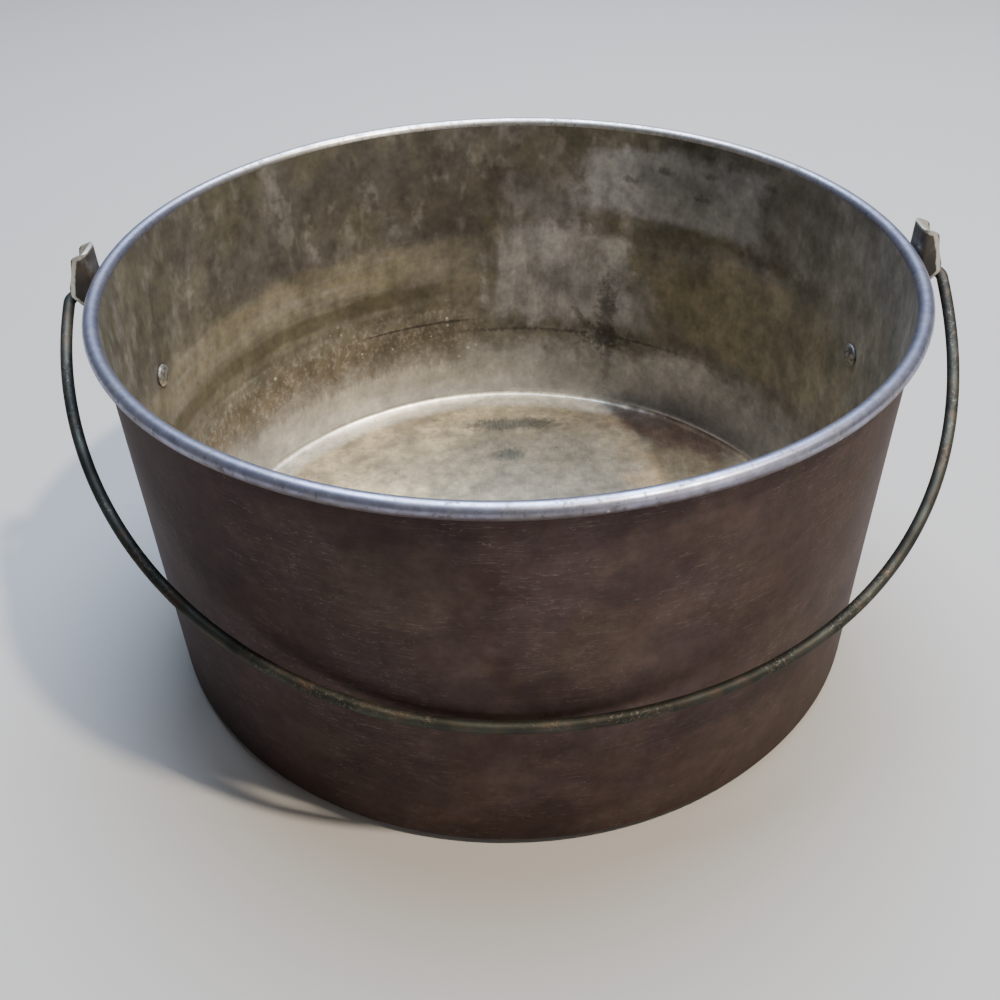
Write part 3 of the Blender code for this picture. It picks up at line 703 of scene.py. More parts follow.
    finish.stain("Dark drip", (43, 42), (3.4, 14), 0.66, colours.black_stain_and_shade, 0.8, soft=0.6, ragged=0.6,
                 rough=finish.frayed)
    finish.stain("Head of the drip", (42, 32), (9, 4.4), 0.72, colours.black_stain_and_shade, 0.8, soft=0.6,
                 ragged=0.6, rough=finish.frayed)
    finish.stain("Arm of the drip", (33, 39), (1.6, 5.5), 0.50, colours.black_stain_and_shade, 0.8, turn=38, soft=0.5,
                 ragged=0.5, rough=finish.frayed)
    finish.stain("Foot of the drip", (44, 20), (1.8, 10), 0.46, colours.dark_tarnish, 0.8, soft=0.6,
                 ragged=0.5, rough=finish.frayed)
    finish.stain("Clean on the right", (88, 20), (38, 12), 0.62, colours.clean_metal, 0.4, soft=0.5)
    finish.stain("Pale smear", (87.5, 22), (2.6, 7.5), 0.55, colours.chalk, 0.6, soft=0.5)
    pits = ((81, 105.5), (78, 97), (50, 99), (-3, 100.5), (106, 109), (63, 104))
    for number, place in enumerate(pits, 1):
        finish.stain(f"Dark pit {number}", place, (2.6, 1.2), 0.55, colours.black_stain_and_shade, 0.85, soft=0.6,
                     ragged=0.5, rough=finish.frayed)
    smears = finish.both(finish.clouds(7.5, cover=0.42, softness=0.07, stretch=2.2, seed=19.0),
                         board.ramp(finish.ragged, -0.3, 0.3))
    finish.lay("Pale upright smears", finish.both(smears, board.ramp(finish.up, 66.0, 80.0)), 0.26,
               colours.chalk, 0.6)
    # Painted highlight along the foot of the wall at the corner
    finish.lay("Painted highlight at the corner", board.ramp(finish.up, 4.6, 1.6), 0.7, colours.corner_highlight, 0.2)
    finish.mottle(19.0, 1.5, stretch=1.2, seed=37.0)
    finish.mottle(5.5, 1.25, stretch=1.2, seed=39.0)
    finish.lay("Even foot", board.ramp(ragged_up, 28.0, 14.0), 0.40, colours.clean_metal, 0.35)
    finish.shade(finish.frayed, 0.13)
    finish.shade(finish.runs, 0.05)

    return finish.done(smooth=0.34, rough=0.66, shiny=0.9, dull=0.25, relief=0.14, bump=0.6)


def pail_floor_finish(colours):
    """The pale floor, with cloudy stains, a dark smear, rust at the back right, a painted highlight round
    its edge and brown film with painted shade on its right.
    """
    finish = Finish("stained_floor", colours.floor_metal, 0.35, across="Right", up="Behind")
    board = finish.board

    finish.lay("Grey green clouds", finish.clouds(24.0, softness=0.08, seed=2.0), 0.50, colours.floor_cloud,
               0.5)
    finish.lay("Tan clouds", finish.clouds(15.0, cover=0.38, softness=0.08, seed=9.0), 0.20,
               colours.tan_stain, 0.5)
    finish.lay("Small clouds", finish.clouds(5.5, cover=0.36, softness=0.06, seed=13.0), 0.30,
               colours.floor_cloud, 0.6)
    finish.stain("Grey middle", (24, 52), (46, 42), 0.80, colours.floor_cloud, 0.45, soft=0.5, ragged=0.25)
    # Painted highlight in a ring round the floor's edge, at the corner
    ring = board.ramp(finish.at["Out"], 98.5, 104.5)
    finish.lay("Painted highlight ring at the corner", ring, 0.80, colours.corner_highlight, 0.2)
    finish.stain("Long dark smear", (3, 87), (20, 4.2), 0.90, colours.floor_smear, 0.6, soft=0.5,
                 rough=finish.frayed)
    finish.stain("Dark spot", (1.3, 65), (5.6, 4.0), 0.95, colours.floor_smear, 0.6, soft=0.5,
                 rough=finish.frayed)
    finish.stain("Tan mark", (-25, 80), (9, 3.0), 0.42, colours.spatter, 0.6, soft=0.6, ragged=0.6,
                 rough=finish.frayed)
    finish.stain("Tan marks on the left", (-58, 62), (13, 5), 0.32, colours.spatter, 0.6, soft=0.7,
                 ragged=0.7)
    # Brown film and painted shade on the floor's right, where the wall's shadow falls
    finish.stain("Olive film", (88, 44), (38, 60), 0.88, colours.floor_film_and_shade, 0.9, soft=0.25, ragged=0.2)
    finish.stain("Rust at the back right", (65, 79), (28, 9.0), 0.85, colours.brown_stain, 0.95, turn=-40,
                 boxy=0.2, soft=0.4, ragged=0.35)
    finish.stain("Front clouds", (-20, -50), (60, 30), 0.30, colours.floor_cloud, 0.6, soft=0.5, ragged=0.4)
    finish.lay("Dark specks", finish.specks(5.0, 0.18, 0.30, seed=4.0), 0.5, colours.dark_tarnish, 0.8)
    finish.lay("Scour marks", finish.scratches((0.9, 0.05, 0.05), width=0.022, share=0.6), 0.10,
               colours.lime, 0.3)
    finish.mottle(16.0, 0.9, seed=37.0)
    finish.mottle(4.5, 0.9, seed=39.0)
    finish.shade(finish.frayed, 0.16)

    return finish.done(smooth=0.36, rough=0.62, shiny=0.85, dull=0.35, relief=0.12, bump=0.6)


def rim_finish(colours):
    """The rolled rim: rubbed metal tinted by a painted blue sky reflection, a painted highlight at the back,
    and brown tarnish with a painted reflection of the ground below.
    """
    finish = Finish("rubbed_rim", colours.rubbed_metal_and_sky_reflection, 0.15)
    board = finish.board
    rise = board.math("MULTIPLY_ADD", finish.ragged, 0.5, finish.up)
    # Brown tarnish and a painted reflection of the ground on the rim's underside
    finish.lay("Brown below", board.ramp(rise, 117.6, 115.2), 0.88, colours.brown_tint, 0.8)
    # Painted highlight: the back of the rim lighter and shinier
    finish.lay("Painted highlight at the back", board.ramp(finish.at["Behind"], 20.0, 100.0), 0.70, colours.lime,
               0.15)
    finish.lay("Dull patches", finish.clouds(9.0, cover=0.45, seed=5.0), 0.40, colours.mid_tarnish, 0.55)
    finish.lay("Dark nicks", finish.clouds(1.8, cover=0.22, softness=0.05, seed=15.0), 0.5,
               colours.dark_tarnish, 0.7)
    finish.lay("Bright nicks", finish.specks(2.4, 0.25, 0.25, seed=8.0), 0.5, colours.lime, 0.1)
    finish.mottle(2.6, 0.8, seed=37.0)
    return finish.done(smooth=0.34, rough=0.62, shiny=1.0, dull=0.7, relief=0.06, bump=0.5)


def outside_finish(colours):
    """Brown grey patina with dark clouds and rubbed places, and painted shade on both sides, under the rim
    and at the ground, warmer on the right.
    """
    finish = Finish("outside_patina", colours.outside, 0.45)
    board = finish.board
    wide_clouds = finish.clouds(44.0, stretch=0.8, seed=41.0)
    wide_clouds = finish.both(wide_clouds, board.ramp(finish.at["Right"], 75.0, -5.0))
    finish.lay("Wide dark clouds", wide_clouds, 0.60, colours.outside_dark_and_shade, 0.5)
    finish.lay("Rubbed clouds", finish.clouds(26.0, cover=0.40, softness=0.08, stretch=0.7, seed=47.0),
               0.42, colours.outside_rubbed, 0.35)
    finish.lay("Brown tint", finish.clouds(18.0, cover=0.42, softness=0.09, seed=59.0), 0.30,
               colours.brown_tint, 0.6)
    finish.stain("Rubbed left of the middle", (-321, 90), (15, 13), 0.70, colours.outside_rubbed, 0.4,
                 soft=0.45, ragged=0.25)
    finish.stain("Rubbed right of the middle", (330, 71), (12, 11), 0.60, colours.outside_rubbed, 0.4,
                 soft=0.45, ragged=0.25)
    # Painted shade on the left side
    finish.lay("Painted shade on the left", board.ramp(finish.at["Right"], 25.0, -95.0), 0.72,
               colours.outside_dark_and_shade, 0.55)
    # Painted shade, darker and warmer, on the right side
    finish.lay("Painted warm shade on the right", board.ramp(finish.at["Right"], 20.0, 100.0), 0.70,
               colours.outside_warm_shade, 0.5)
    # Painted shade on the far right side
    finish.lay("Painted shade on the far right", board.ramp(finish.at["Right"], 78.0, 108.0), 0.55,
               colours.outside_dark_and_shade, 0.5)
    # Painted shade under the rim
    finish.lay("Painted shade under the rim", board.ramp(finish.up, 104.0, 114.0), 0.35, colours.outside_dark_and_shade, 0.5)
    # Painted contact shadow at the ground
    finish.lay("Painted contact shadow at the ground", board.ramp(finish.up, 9.0, 1.0), 0.45, colours.outside_dark_and_shade, 0.7)
    finish.lay("Spun lines", finish.scratches((0.015, 0.015, 1.7), width=0.035, share=0.7), 0.16,
               colours.outside_rubbed, 0.3)
    finish.lay("Slanting scratches", finish.scratches((0.10, 0.14, 0.75), width=0.012, share=0.45), 0.28,
               colours.scratch, 0.2)
    finish.mottle(18.0, 0.8, stretch=0.8, seed=37.0)
    finish.mottle(5.0, 0.6, seed=39.0)
    finish.shade(finish.frayed, 0.12)
    finish.dim_shine(0.2, (0.74, 0.66, 0.65))
    return finish.done(smooth=0.42, rough=0.66, shiny=0.85, dull=0.45, relief=0.09, bump=0.6)


def ear_margin(finish):
    """How far a place lies inside the outline of an ear's sides, in millimetres."""
    board = finish.board
    reach = board.math("ABSOLUTE", finish.at["Right"])
    inside = None
    for (r0, z0), (r1, z1) in zip(EAR_OUTLINE, EAR_OUTLINE[1:]):
        size = math.hypot(r1 - r0, z1 - z0)
        out_r, out_z = (z1 - z0) / size, (r0 - r1) / size
        offset = out_r * r0 + out_z * z0
        depth = board.math("MULTIPLY_ADD", reach, -out_r, offset)
        depth = board.math("MULTIPLY_ADD", finish.at["Up"], -out_z, depth)
        inside = depth if inside is None else board.math("MINIMUM", inside, depth)
    return inside


def ear_finish(colours, rubbed):
    """Tarnished steel of the ears, with painted shade round the pin and a painted highlight along the rubbed
    free edges.
    """
    finish = Finish("ear_rubbed_edge" if rubbed else "ear_tarnish", colours.ear, 0.5)
    board = finish.board
    finish.lay("Dark clouds", finish.clouds(7.0, cover=0.48, softness=0.12, seed=61.0), 0.45,
               colours.dark_tarnish, 0.65)
    finish.lay("Rust", finish.clouds(4.0, cover=0.34, seed=67.0), 0.35, colours.brown_stain, 0.85)
    finish.lay("Rubbed metal", finish.clouds(3.0, cover=0.36, seed=71.0), 0.14, colours.clean_metal, 0.3)
    inside = ear_margin(finish)
    on_channel = board.ramp(inside, -0.4, -0.1)
    # Painted shade in the channel round the pin
    pin_shade = finish.both(on_channel, board.ramp(finish.at["Up"], 119.5, 114.5))
    finish.lay("Painted shade round the pin", pin_shade, 0.93, colours.black_stain_and_shade, 0.8)
    # Painted highlight along the free edge, on rubbed metal
    frayed = board.math("MULTIPLY_ADD", finish.frayed, 0.16, inside)
    edge = finish.both(on_channel, board.ramp(frayed, 1.15, 0.65))
    finish.lay("Painted highlight on the free edge", edge, 0.92, colours.ear_edge, 0.25)
    if rubbed:
        finish.lay("Worn corner", finish.clouds(4.5, cover=0.70, seed=73.0), 0.7, colours.chalk, 0.25)
    finish.lay("Specks", finish.specks(1.1, 0.25, 0.3, seed=12.0), 0.4, colours.dark_tarnish, 0.8)
    return finish.done(smooth=0.34, rough=0.62, shiny=0.95, dull=0.5, relief=0.12, bump=0.7)


def rivet_finish(colours):
    """Soft steel rivets, tarnished, with dark pits and chalky clouds."""
    finish = Finish("rivet_steel", colours.mid_tarnish, 0.5)
    finish.lay("Tarnish", finish.clouds(2.5, cover=0.6, softness=0.12, seed=81.0), 0.7,
               colours.dark_tarnish, 0.6)
    finish.lay("Dark pits", finish.specks(0.9, 0.30, 0.3, seed=14.0), 0.6, colours.dark_tarnish, 0.8)
    finish.lay("Chalk", finish.clouds(1.4, cover=0.55, seed=83.0), 0.7, colours.chalk, 0.5)
    return finish.done(smooth=0.32, rough=0.62, shiny=0.95, dull=0.5, relief=0.16, bump=0.8)


def wire_finish(colours):
    """Dark oxide on the bail, rubbed grey green in long patches."""
    finish = Finish("bail_oxide", colours.wire, 0.45)
    finish.lay("Rubbed lengths", finish.clouds(16.0, cover=0.46, softness=0.14, seed=91.0), 0.5,
               colours.wire_rubbed, 0.3)
    finish.lay("Rust", finish.clouds(5.0, cover=0.30, softness=0.08, seed=93.0), 0.20, colours.brown_stain,
               0.85)
    finish.lay("Specks", finish.specks(0.9, 0.25, 0.35, seed=22.0), 0.5, colours.black_stain_and_shade, 0.8)
    finish.lay("Bright scratches", finish.scratches((0.5, 0.5, 0.5), width=0.02, share=0.5), 0.4,
               colours.scratch, 0.2)
    finish.dim_shine(0.25, (0.6, 0.6, 0.56))
    return finish.done(smooth=0.52, rough=0.72, shiny=0.95, dull=0.55, relief=0.10, bump=0.7)


def arc(center, radius, start, end, steps):
    """Points of an arc in a plane, both ends included."""
    points = []
    for i in range(steps + 1):
        angle = start + (end - start) * i / steps
        points.append((center[0] + radius * math.cos(angle), center[1] + radius * math.sin(angle)))
    return points


def straight(a, b, steps):
    """Points between two places, without the ends."""
    return [(a[0] + (b[0] - a[0]) * i / steps, a[1] + (b[1] - a[1]) * i / steps) for i in range(1, steps)]


FLOOR_STRIP, WALL_STRIP, RIM_STRIP, OUTSIDE_STRIP = range(4)


def sheet_section(sizes):
    """The sheet's section as (radius, height, strip), from the floor's middle to the base's middle."""
    wall_inner = sizes.rim_radius - sizes.bead
    wall_outer = wall_inner + sizes.sheet
    bead_radius = sizes.bead / 2
    bead = (sizes.rim_radius - bead_radius, sizes.height - bead_radius)
    tip = -math.acos((wall_outer + sizes.bead_tip_gap - bead[0]) / bead_radius)
    corner = (wall_outer - sizes.corner, sizes.corner)
    corner_inner = sizes.corner - sizes.sheet
    down, level, back = -math.pi / 2, 0.0, math.pi
    stretches = (
        (FLOOR_STRIP, straight((0.0, sizes.sheet), (corner[0], sizes.sheet), 20)),
        (FLOOR_STRIP, arc(corner, corner_inner, down, -0.7, 5)),
        (WALL_STRIP, arc(corner, corner_inner, -0.5, level, 3)),
        (WALL_STRIP, straight((wall_inner, corner[1]), (wall_inner, bead[1]), 38)),
        (RIM_STRIP, arc(bead, bead_radius, back, tip, 30)),
        (RIM_STRIP, arc(bead, bead_radius - sizes.sheet, tip, back, 12)),
        (OUTSIDE_STRIP, straight((wall_outer, bead[1]), (wall_outer, corner[1]), 38)),
        (OUTSIDE_STRIP, arc(corner, sizes.corner, level, down, 8)),
        (OUTSIDE_STRIP, straight((corner[0], 0.0), (0.0, 0.0), 8)),
    )
    return [(radius, height, strip) for strip, points in stretches for radius, height in points]


def clamp(value):
    """A number held between 0 and 1."""
    return min(1.0, max(0.0, value))


def worn(radius, height, azimuth, sizes):
    """Moves a point of the sheet a little inward or down, as handling has done."""
    around = Vector((math.cos(azimuth), math.sin(azimuth), height * 9.0))
    pull = noise.noise(around * 1.7 + Vector((3.1, 0.0, 0.0))) + 0.5 * noise.noise(around * 4.3)
    pull = sizes.unevenness * clamp(0.5 + 0.6 * pull)
    wall_share = clamp((radius - 0.8 * sizes.rim_radius) / (0.15 * sizes.rim_radius))
    top_share = clamp((height - 0.9 * sizes.height) / (0.1 * sizes.height))
    droop = noise.noise(Vector((math.cos(azimuth), math.sin(azimuth), 7.7)) * 2.1)
    droop = sizes.unevenness * top_share * clamp(0.4 + 0.8 * droop)
    place = Vector((radius * math.cos(azimuth), radius * math.sin(azimuth), 0.0))
    dish = 0.5 + 0.5 * noise.noise(place * 22.0)
    return radius - pull * wall_share, height - droop + sizes.unevenness * (1.0 - wall_share) * dish


def turned_mesh(name, rows, segments, shape):
    """A body turned from rows of (radius, height, strip), closed at its axis at both ends."""
    mesh = bpy.data.meshes.new(name)
    build = bmesh.new()
    rings = []
    for radius, height, strip in rows:
        ring = []
        for i in range(segments):
            azimuth = math.tau * i / segments
            r, z = shape(radius, height, azimuth)
            ring.append(build.verts.new((r * math.cos(azimuth), r * math.sin(azimuth), z)))
        rings.append((ring, strip))
    for (ring, strip), (following, _) in zip(rings, rings[1:]):
        for i in range(segments):
            j = (i + 1) % segments
            face = build.faces.new((ring[i], ring[j], following[j], following[i]))
            face.material_index = strip
    for ring, strip in (rings[0], rings[-1]):
        middle = build.verts.new((0.0, 0.0, sum(vert.co.z for vert in ring) / segments))
        for i in range(segments):
            face = build.faces.new((ring[i], middle, ring[(i + 1) % segments]))
            face.material_index = strip
    bmesh.ops.recalc_face_normals(build, faces=build.faces)
    build.to_mesh(mesh)
    build.free()
    return mesh


def add_piece(name, mesh, body, materials, replaced):
    """Links a piece, gives it its finishes and sets it on its body in place of the plain solid."""
    for node in replaced:
        if node not in frame["nodes"]:
            raise RuntimeError(f"The packed model has no node {node}")
    piece = bpy.data.objects.new(name, mesh)
    bpy.context.scene.collection.objects.link(piece)
    for material in materials:
        mesh.materials.append(material)
    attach(piece, body)
    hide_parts(*replaced)
    return piece


def smooth(mesh, angle):
    """Shades a mesh smooth but for edges that turn by more than an angle in degrees."""
    mesh.shade_smooth()
    mesh.set_sharp_from_angle(angle=math.radians(angle))


class PAIL_OT_body(Operator):
    """Builds the worn sheet of the pail with its stains and its painted light and shade"""
    bl_idname = "pail.body"
    bl_label = "Pail Body"

    def execute(self, context):
        sizes = context.scene.pail_sizes
        colours = context.scene.pail_colours
        mesh = turned_mesh("worn_sheet", sheet_section(sizes), sizes.segments,
                           lambda r, z, a: worn(r, z, a, sizes))
        smooth(mesh, 60.0)
        finishes = [pail_floor_finish(colours), inside_wall_finish(colours), rim_finish(colours),
                    outside_finish(colours)]
        add_piece("worn_sheet", mesh, PAIL_BODY, finishes, ["pail_body"])
        return {"FINISHED"}


# Points this close are one, faces that turn by less are flat, and edges that turn by more are rubbed
MERGE_DISTANCE = 0.002 * MM
FLAT_ANGLE = math.radians(0.6)
SHARP_ANGLE = math.radians(28)


def rubbed_copy(node, name, edge):
    """The solid's own shape with its edges rubbed round; their faces take the second finish."""
    mesh = frame["nodes"][node].data.copy()
    mesh.name = name
    mesh.materials.clear()
    build = bmesh.new()
    build.from_mesh(mesh)
    bmesh.ops.remove_doubles(build, verts=build.verts, dist=MERGE_DISTANCE)
    bmesh.ops.dissolve_limit(build, angle_limit=FLAT_ANGLE, verts=build.verts, edges=build.edges)
    for face in build.faces:
        face.material_index = 0
        face.smooth = True
    sharp = [line for line in build.edges if line.is_manifold and line.calc_face_angle() > SHARP_ANGLE]
    bmesh.ops.bevel(build, geom=sharp, offset=edge, offset_type="OFFSET", segments=2, profile=0.5,
                    affect="EDGES", clamp_overlap=True, material=1)
    build.to_mesh(mesh)
    build.free()
    return mesh


class PAIL_OT_ears(Operator):
    """Builds the two riveted ears with their rubbed edges, painted shade and painted highlights"""
    bl_idname = "pail.ears"
    bl_label = "Ears"

    def execute(self, context):
        sizes = context.scene.pail_sizes
        colours = context.scene.pail_colours
        finishes = [ear_finish(colours, False), ear_finish(colours, True)]
        for side in ("left", "right"):
            mesh = rubbed_copy(f"{side}_ear", f"worn_{side}_ear", sizes.ear_edge)
            smooth(mesh, 25.0)
            add_piece(f"worn_{side}_ear", mesh, PAIL_BODY, finishes, [f"{side}_ear"])
        return {"FINISHED"}


RIVET_SIDES = 40
RIVET_LIP = 0.25 * MM
RIVET_UNDERCUT = 0.1 * MM
RIVET_DOME_STEPS = 8


def rivet_section(sizes):
    """Half section of a rivet along its axis, as (radius, distance from the pail's axis, strip)."""
    wall_inner = sizes.rim_radius - sizes.bead
    inner_seat = wall_inner - sizes.seat_gap
    outer_seat = wall_inner + sizes.sheet + 2 * sizes.seat_gap + sizes.ear_sheet
    head = sizes.rivet_head / 2
    shank = sizes.rivet_shank / 2
    dome = []
    for i in range(RIVET_DOME_STEPS):
        angle = i * math.pi / (2 * RIVET_DOME_STEPS)
        dome.append((head * math.cos(angle), RIVET_LIP + (sizes.rivet_crown - RIVET_LIP) * math.sin(angle)))
    rows = [(radius, outer_seat + height, 0) for radius, height in reversed(dome)]
    rows += [(head - RIVET_UNDERCUT, outer_seat, 0), (shank, outer_seat, 0), (shank, inner_seat, 0),
             (head - RIVET_UNDERCUT, inner_seat, 0)]
    rows += [(radius, inner_seat - height, 0) for radius, height in dome]
    return rows


def hammered(radius, height, azimuth, seed):
    """A rivet head is a little out of round and flattened by the hammer."""
    wobble = noise.noise(Vector((math.cos(azimuth), math.sin(azimuth), seed)) * 1.3)
    return radius * (1.0 - 0.035 * abs(wobble)), height


class PAIL_OT_rivets(Operator):
    """Builds the four rivets that hold the ears"""
    bl_idname = "pail.rivets"
    bl_label = "Rivets"

    def execute(self, context):
        sizes = context.scene.pail_sizes
        finish = rivet_finish(context.scene.pail_colours)
        wall_outer = sizes.rim_radius - sizes.bead + sizes.sheet
        turn = math.asin(sizes.rivet_spacing / 2 / wall_outer)
        for number, (node, (ear_azimuth, side)) in enumerate(RIVETS.items()):
            mesh = turned_mesh("worn_" + node, rivet_section(sizes), RIVET_SIDES,
                               lambda r, z, a: hammered(r, z, a, 5.0 * number))
            azimuth = ear_azimuth + side * turn
            outward = Vector((math.cos(azimuth), math.sin(azimuth), 0.0))
            turned = outward.to_track_quat("Z", "Y").to_matrix().to_4x4()
            mesh.transform(Matrix.Translation((0.0, 0.0, sizes.rivet_height)) @ turned)
            smooth(mesh, 50.0)
            add_piece("worn_" + node, mesh, PAIL_BODY, [finish], [node])
        return {"FINISHED"}


BAIL_STEPS = 150


def bail_line(sizes):
    """The wire's middle line in its own plane: X along the pivots, -Y away from them."""
    middle = (sizes.bail_half_span - sizes.wire_bend, -sizes.wire_bend)
    bend = arc(middle, sizes.wire_bend, math.pi / 2, 0.0, 10)
    pin = [(sizes.pin_end, 0.0), (sizes.pin_end + TIP_EASE, 0.0)]
    pin += straight((sizes.pin_end, 0.0), bend[0], 3)
    line = pin + bend
    first = math.asin(2 * sizes.wire_bend / sizes.bail_half_span)
    for i in range(BAIL_STEPS + 1):
        angle = first + (math.pi - 2 * first) * i / BAIL_STEPS
        bulge = 0.0 if angle > math.pi / 2 else sizes.bail_bulge
        reach = sizes.bail_half_span + sizes.bail_extra_depth * math.sin(angle) ** 2
        reach += bulge * math.sin(2 * angle) ** 2
        line.append((reach * math.cos(angle), -reach * math.sin(angle)))
    return line + [(-x, y) for x, y in reversed(pin + bend)]


# How far the wire wanders, and the distance from the pivots over which it starts to
WIRE_WANDER = 0.10 * MM
WIRE_WANDER_START = 30 * MM
WIRE_SIDES = 20


def wire_mesh(name, line, radius):
    """A wire along a flat line, with slightly eased ends and faint hand-bent wander."""
    mesh = bpy.data.meshes.new(name)
    build = bmesh.new()
    rings = []
    last = len(line) - 1
    upright = Vector((0.0, 0.0, 1.0))
    for i, (x, y) in enumerate(line):
        before = Vector(line[max(0, i - 1)])
        after = Vector(line[min(last, i + 1)])
        along = (after - before).normalized()
        normal = Vector((along.y, -along.x, 0.0))
        eased = radius - (TIP_EASE if i in (0, last) else 0.0)
        wander = WIRE_WANDER * clamp(-y / WIRE_WANDER_START) * noise.noise(Vector((x, y, 0.0)) * 24.0)
        center = Vector((x, y, wander))
        ring = []
        for j in range(WIRE_SIDES):
            angle = math.tau * j / WIRE_SIDES
            outward = math.cos(angle) * normal + math.sin(angle) * upright
            ring.append(build.verts.new(center + eased * outward))
        rings.append(ring)
    for ring, following in zip(rings, rings[1:]):
        for j in range(WIRE_SIDES):
            k = (j + 1) % WIRE_SIDES
            build.faces.new((ring[j], ring[k], following[k], following[j]))
    build.faces.new(rings[0])
    build.faces.new(rings[-1])
    bmesh.ops.recalc_face_normals(build, faces=build.faces)
    build.to_mesh(mesh)
    build.free()
    return mesh


class PAIL_OT_bail(Operator):
    """Builds the wire bail, resting on the front of the wall"""
    bl_idname = "pail.bail"
    bl_label = "Bail"

    def execute(self, context):
        sizes = context.scene.pail_sizes
        depth = sizes.bail_half_span + sizes.bail_extra_depth
        wall_outer = sizes.rim_radius + RIM_INSET - sizes.bead + sizes.sheet
        rest = math.acos((wall_outer + sizes.seat_gap + sizes.wire / 2) / depth)
        mesh = wire_mesh("worn_bail", bail_line(sizes), sizes.wire / 2)
        mesh.transform(Matrix.Translation((0.0, 0.0, PIVOT_Z)) @ Matrix.Rotation(rest, 4, "X"))
        smooth(mesh, 50.0)
        finish = wire_finish(context.scene.pail_colours)
        add_piece("worn_bail", mesh, BAIL_BODY, [finish], ["bail"])
        return {"FINISHED"}


FLOOR_HALF_SIZE = 15.0
FLOOR_ROUGHNESS = 0.75
ROOM_COLOUR = (0.93, 0.95, 1.0, 1.0)

# All lights face the middle of the pail; the main one is 1.8 m away from it, high on the right
LIGHT_AIM = Vector((0.0, 0.0, 60 * MM))
KEY_PLACE = LIGHT_AIM + 1.8 * Vector((57.0, -30.0, 117.6)).normalized()

# Each light's name, place, size, the setting that holds its power, and its colour
LIGHTS = (
    ("key_light", KEY_PLACE, 0.11, "key_power", (1.0, 0.88, 0.72)),
    ("fill_light", (0.95, -1.0, 0.55), 0.9, "fill_power", (1.0, 0.90, 0.80)),
    ("sky_light", (0.05, 0.45, 1.4), 1.1, "sky_power", (0.66, 0.79, 1.0)),
)

# The camera's place, and in degrees how far it looks to the right and down and how far it rolls
CAMERA_PLACE = (-4.8 * MM, -274.5 * MM, 247.3 * MM)
CAMERA_TURNS = (0.28, 38.40, -1.56)
CAMERA_SENSOR = 36.0
CAMERA_NEAREST = 10 * MM


def add_light(scene, name, place, size, power, colour):
    """A round light that faces the pail."""
    light = bpy.data.lights.new(name, "AREA")
    light.shape = "DISK"
    light.size = size
    light.energy = power
    light.color = colour
    lamp = bpy.data.objects.new(name, light)
    scene.collection.objects.link(lamp)
    lamp.location = place
    lamp.rotation_euler = (LIGHT_AIM - Vector(place)).to_track_quat("-Z", "Y").to_euler()


def add_floor(scene, colour):
    """A wide studio floor, which isn't part of the object."""
    mesh = bpy.data.meshes.new("studio_floor")
    build = bmesh.new()
    bmesh.ops.create_grid(build, x_segments=2, y_segments=2, size=FLOOR_HALF_SIZE)
    build.to_mesh(mesh)
    build.free()
    floor = bpy.data.objects.new("studio_floor", mesh)
    scene.collection.objects.link(floor)
    paint = bpy.data.materials.new("studio_floor")
    paint.use_nodes = True
    shader = paint.node_tree.nodes["Principled BSDF"]
    shader.inputs["Base Color"].default_value = (*colour, 1.0)
    shader.inputs["Roughness"].default_value = FLOOR_ROUGHNESS
    mesh.materials.append(paint)


def add_room(scene, strength):
    """Even light from all round."""
    world = bpy.data.worlds.new("studio_room")
    world.use_nodes = True
    background = world.node_tree.nodes["Background"]
    background.inputs["Color"].default_value = ROOM_COLOUR
    background.inputs["Strength"].default_value = strength
    scene.world = world


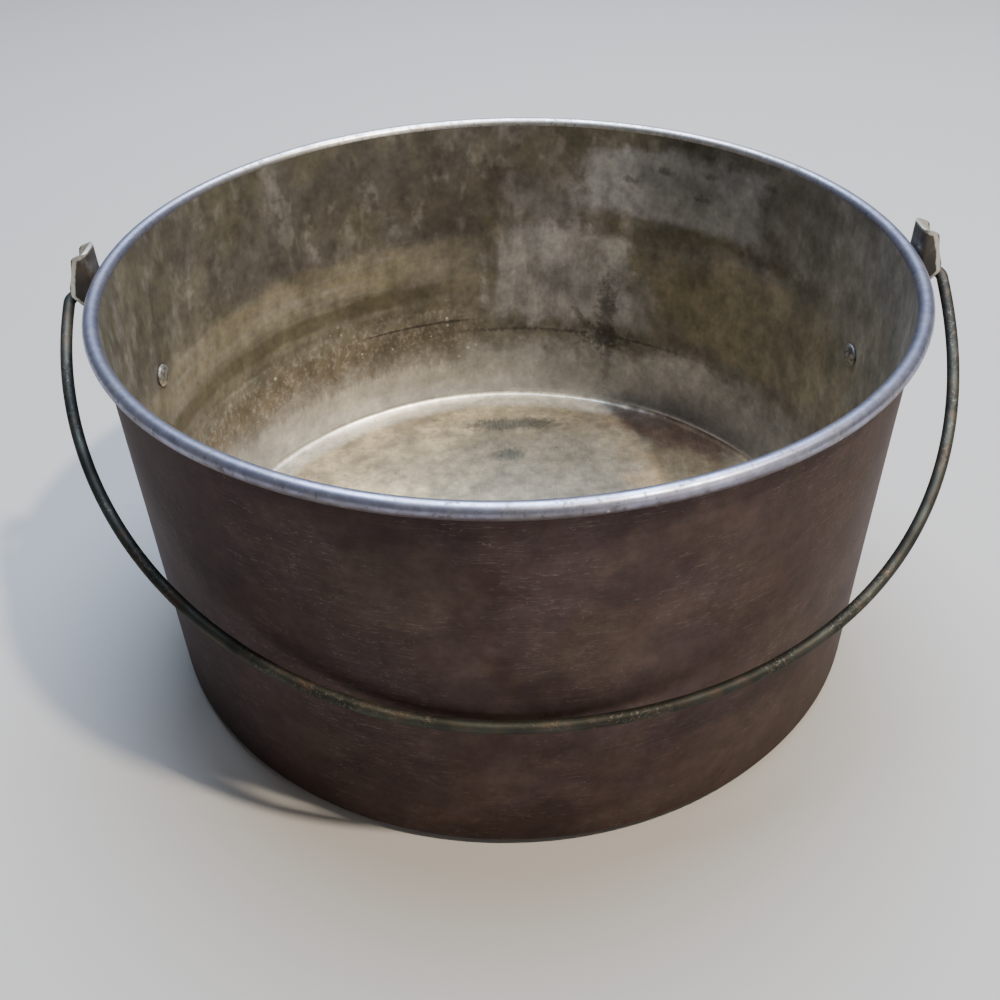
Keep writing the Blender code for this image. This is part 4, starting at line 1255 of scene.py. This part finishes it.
def add_camera(scene, lens):
    """The camera from which the photograph is seen."""
    camera = bpy.data.cameras.new("photo_camera")
    camera.lens = lens
    camera.sensor_width = CAMERA_SENSOR
    camera.clip_start = CAMERA_NEAREST
    view = bpy.data.objects.new("photo_camera", camera)
    scene.collection.objects.link(view)
    yaw, pitch, roll = (math.radians(angle) for angle in CAMERA_TURNS)
    forward = Vector((math.sin(yaw) * math.cos(pitch), math.cos(yaw) * math.cos(pitch), -math.sin(pitch)))
    level = Vector((math.cos(yaw), -math.sin(yaw), 0.0))
    upright = level.cross(forward)
    right = math.cos(roll) * level + math.sin(roll) * upright
    up = math.cos(roll) * upright - math.sin(roll) * level
    turned = Matrix((right, up, -forward)).transposed()
    view.matrix_world = Matrix.Translation(CAMERA_PLACE) @ turned.to_4x4()
    scene.camera = view


class PAIL_OT_stage(Operator):
    """Sets the pale floor, the soft studio light and the camera"""
    bl_idname = "pail.stage"
    bl_label = "Stage"

    def execute(self, context):
        stage = context.scene.pail_stage
        add_floor(context.scene, stage.floor_colour)
        add_room(context.scene, stage.room_light)
        for name, place, size, power, colour in LIGHTS:
            add_light(context.scene, name, place, size, getattr(stage, power), colour)
        add_camera(context.scene, stage.lens)
        return {"FINISHED"}


class PAIL_PT_panel(Panel):
    """Lists the pieces of the pail with their sizes and colours"""
    bl_idname = "PAIL_PT_panel"
    bl_label = "Weathered Metal Pail"
    bl_space_type = "VIEW_3D"
    bl_region_type = "UI"
    bl_category = "Pail"

    def draw(self, context):
        layout = self.layout
        for operator in OPERATORS:
            layout.operator(operator.bl_idname)
        for group in (context.scene.pail_sizes, context.scene.pail_colours, context.scene.pail_stage):
            box = layout.box()
            for name in group.__annotations__:
                box.prop(group, name)


OPERATORS = (PAIL_OT_body, PAIL_OT_ears, PAIL_OT_rivets, PAIL_OT_bail, PAIL_OT_stage)
CLASSES = (PailSizes, PailColours, StageSettings, *OPERATORS, PAIL_PT_panel)


def register():
    for item in CLASSES:
        bpy.utils.register_class(item)
    bpy.types.Scene.pail_sizes = PointerProperty(type=PailSizes)
    bpy.types.Scene.pail_colours = PointerProperty(type=PailColours)
    bpy.types.Scene.pail_stage = PointerProperty(type=StageSettings)


def unregister():
    del bpy.types.Scene.pail_stage
    del bpy.types.Scene.pail_colours
    del bpy.types.Scene.pail_sizes
    for item in reversed(CLASSES):
        bpy.utils.unregister_class(item)


def main():
    register()
    bpy.ops.pail.body()
    bpy.ops.pail.ears()
    bpy.ops.pail.rivets()
    bpy.ops.pail.bail()
    bpy.ops.pail.stage()


if __name__ == "__main__":
    main()
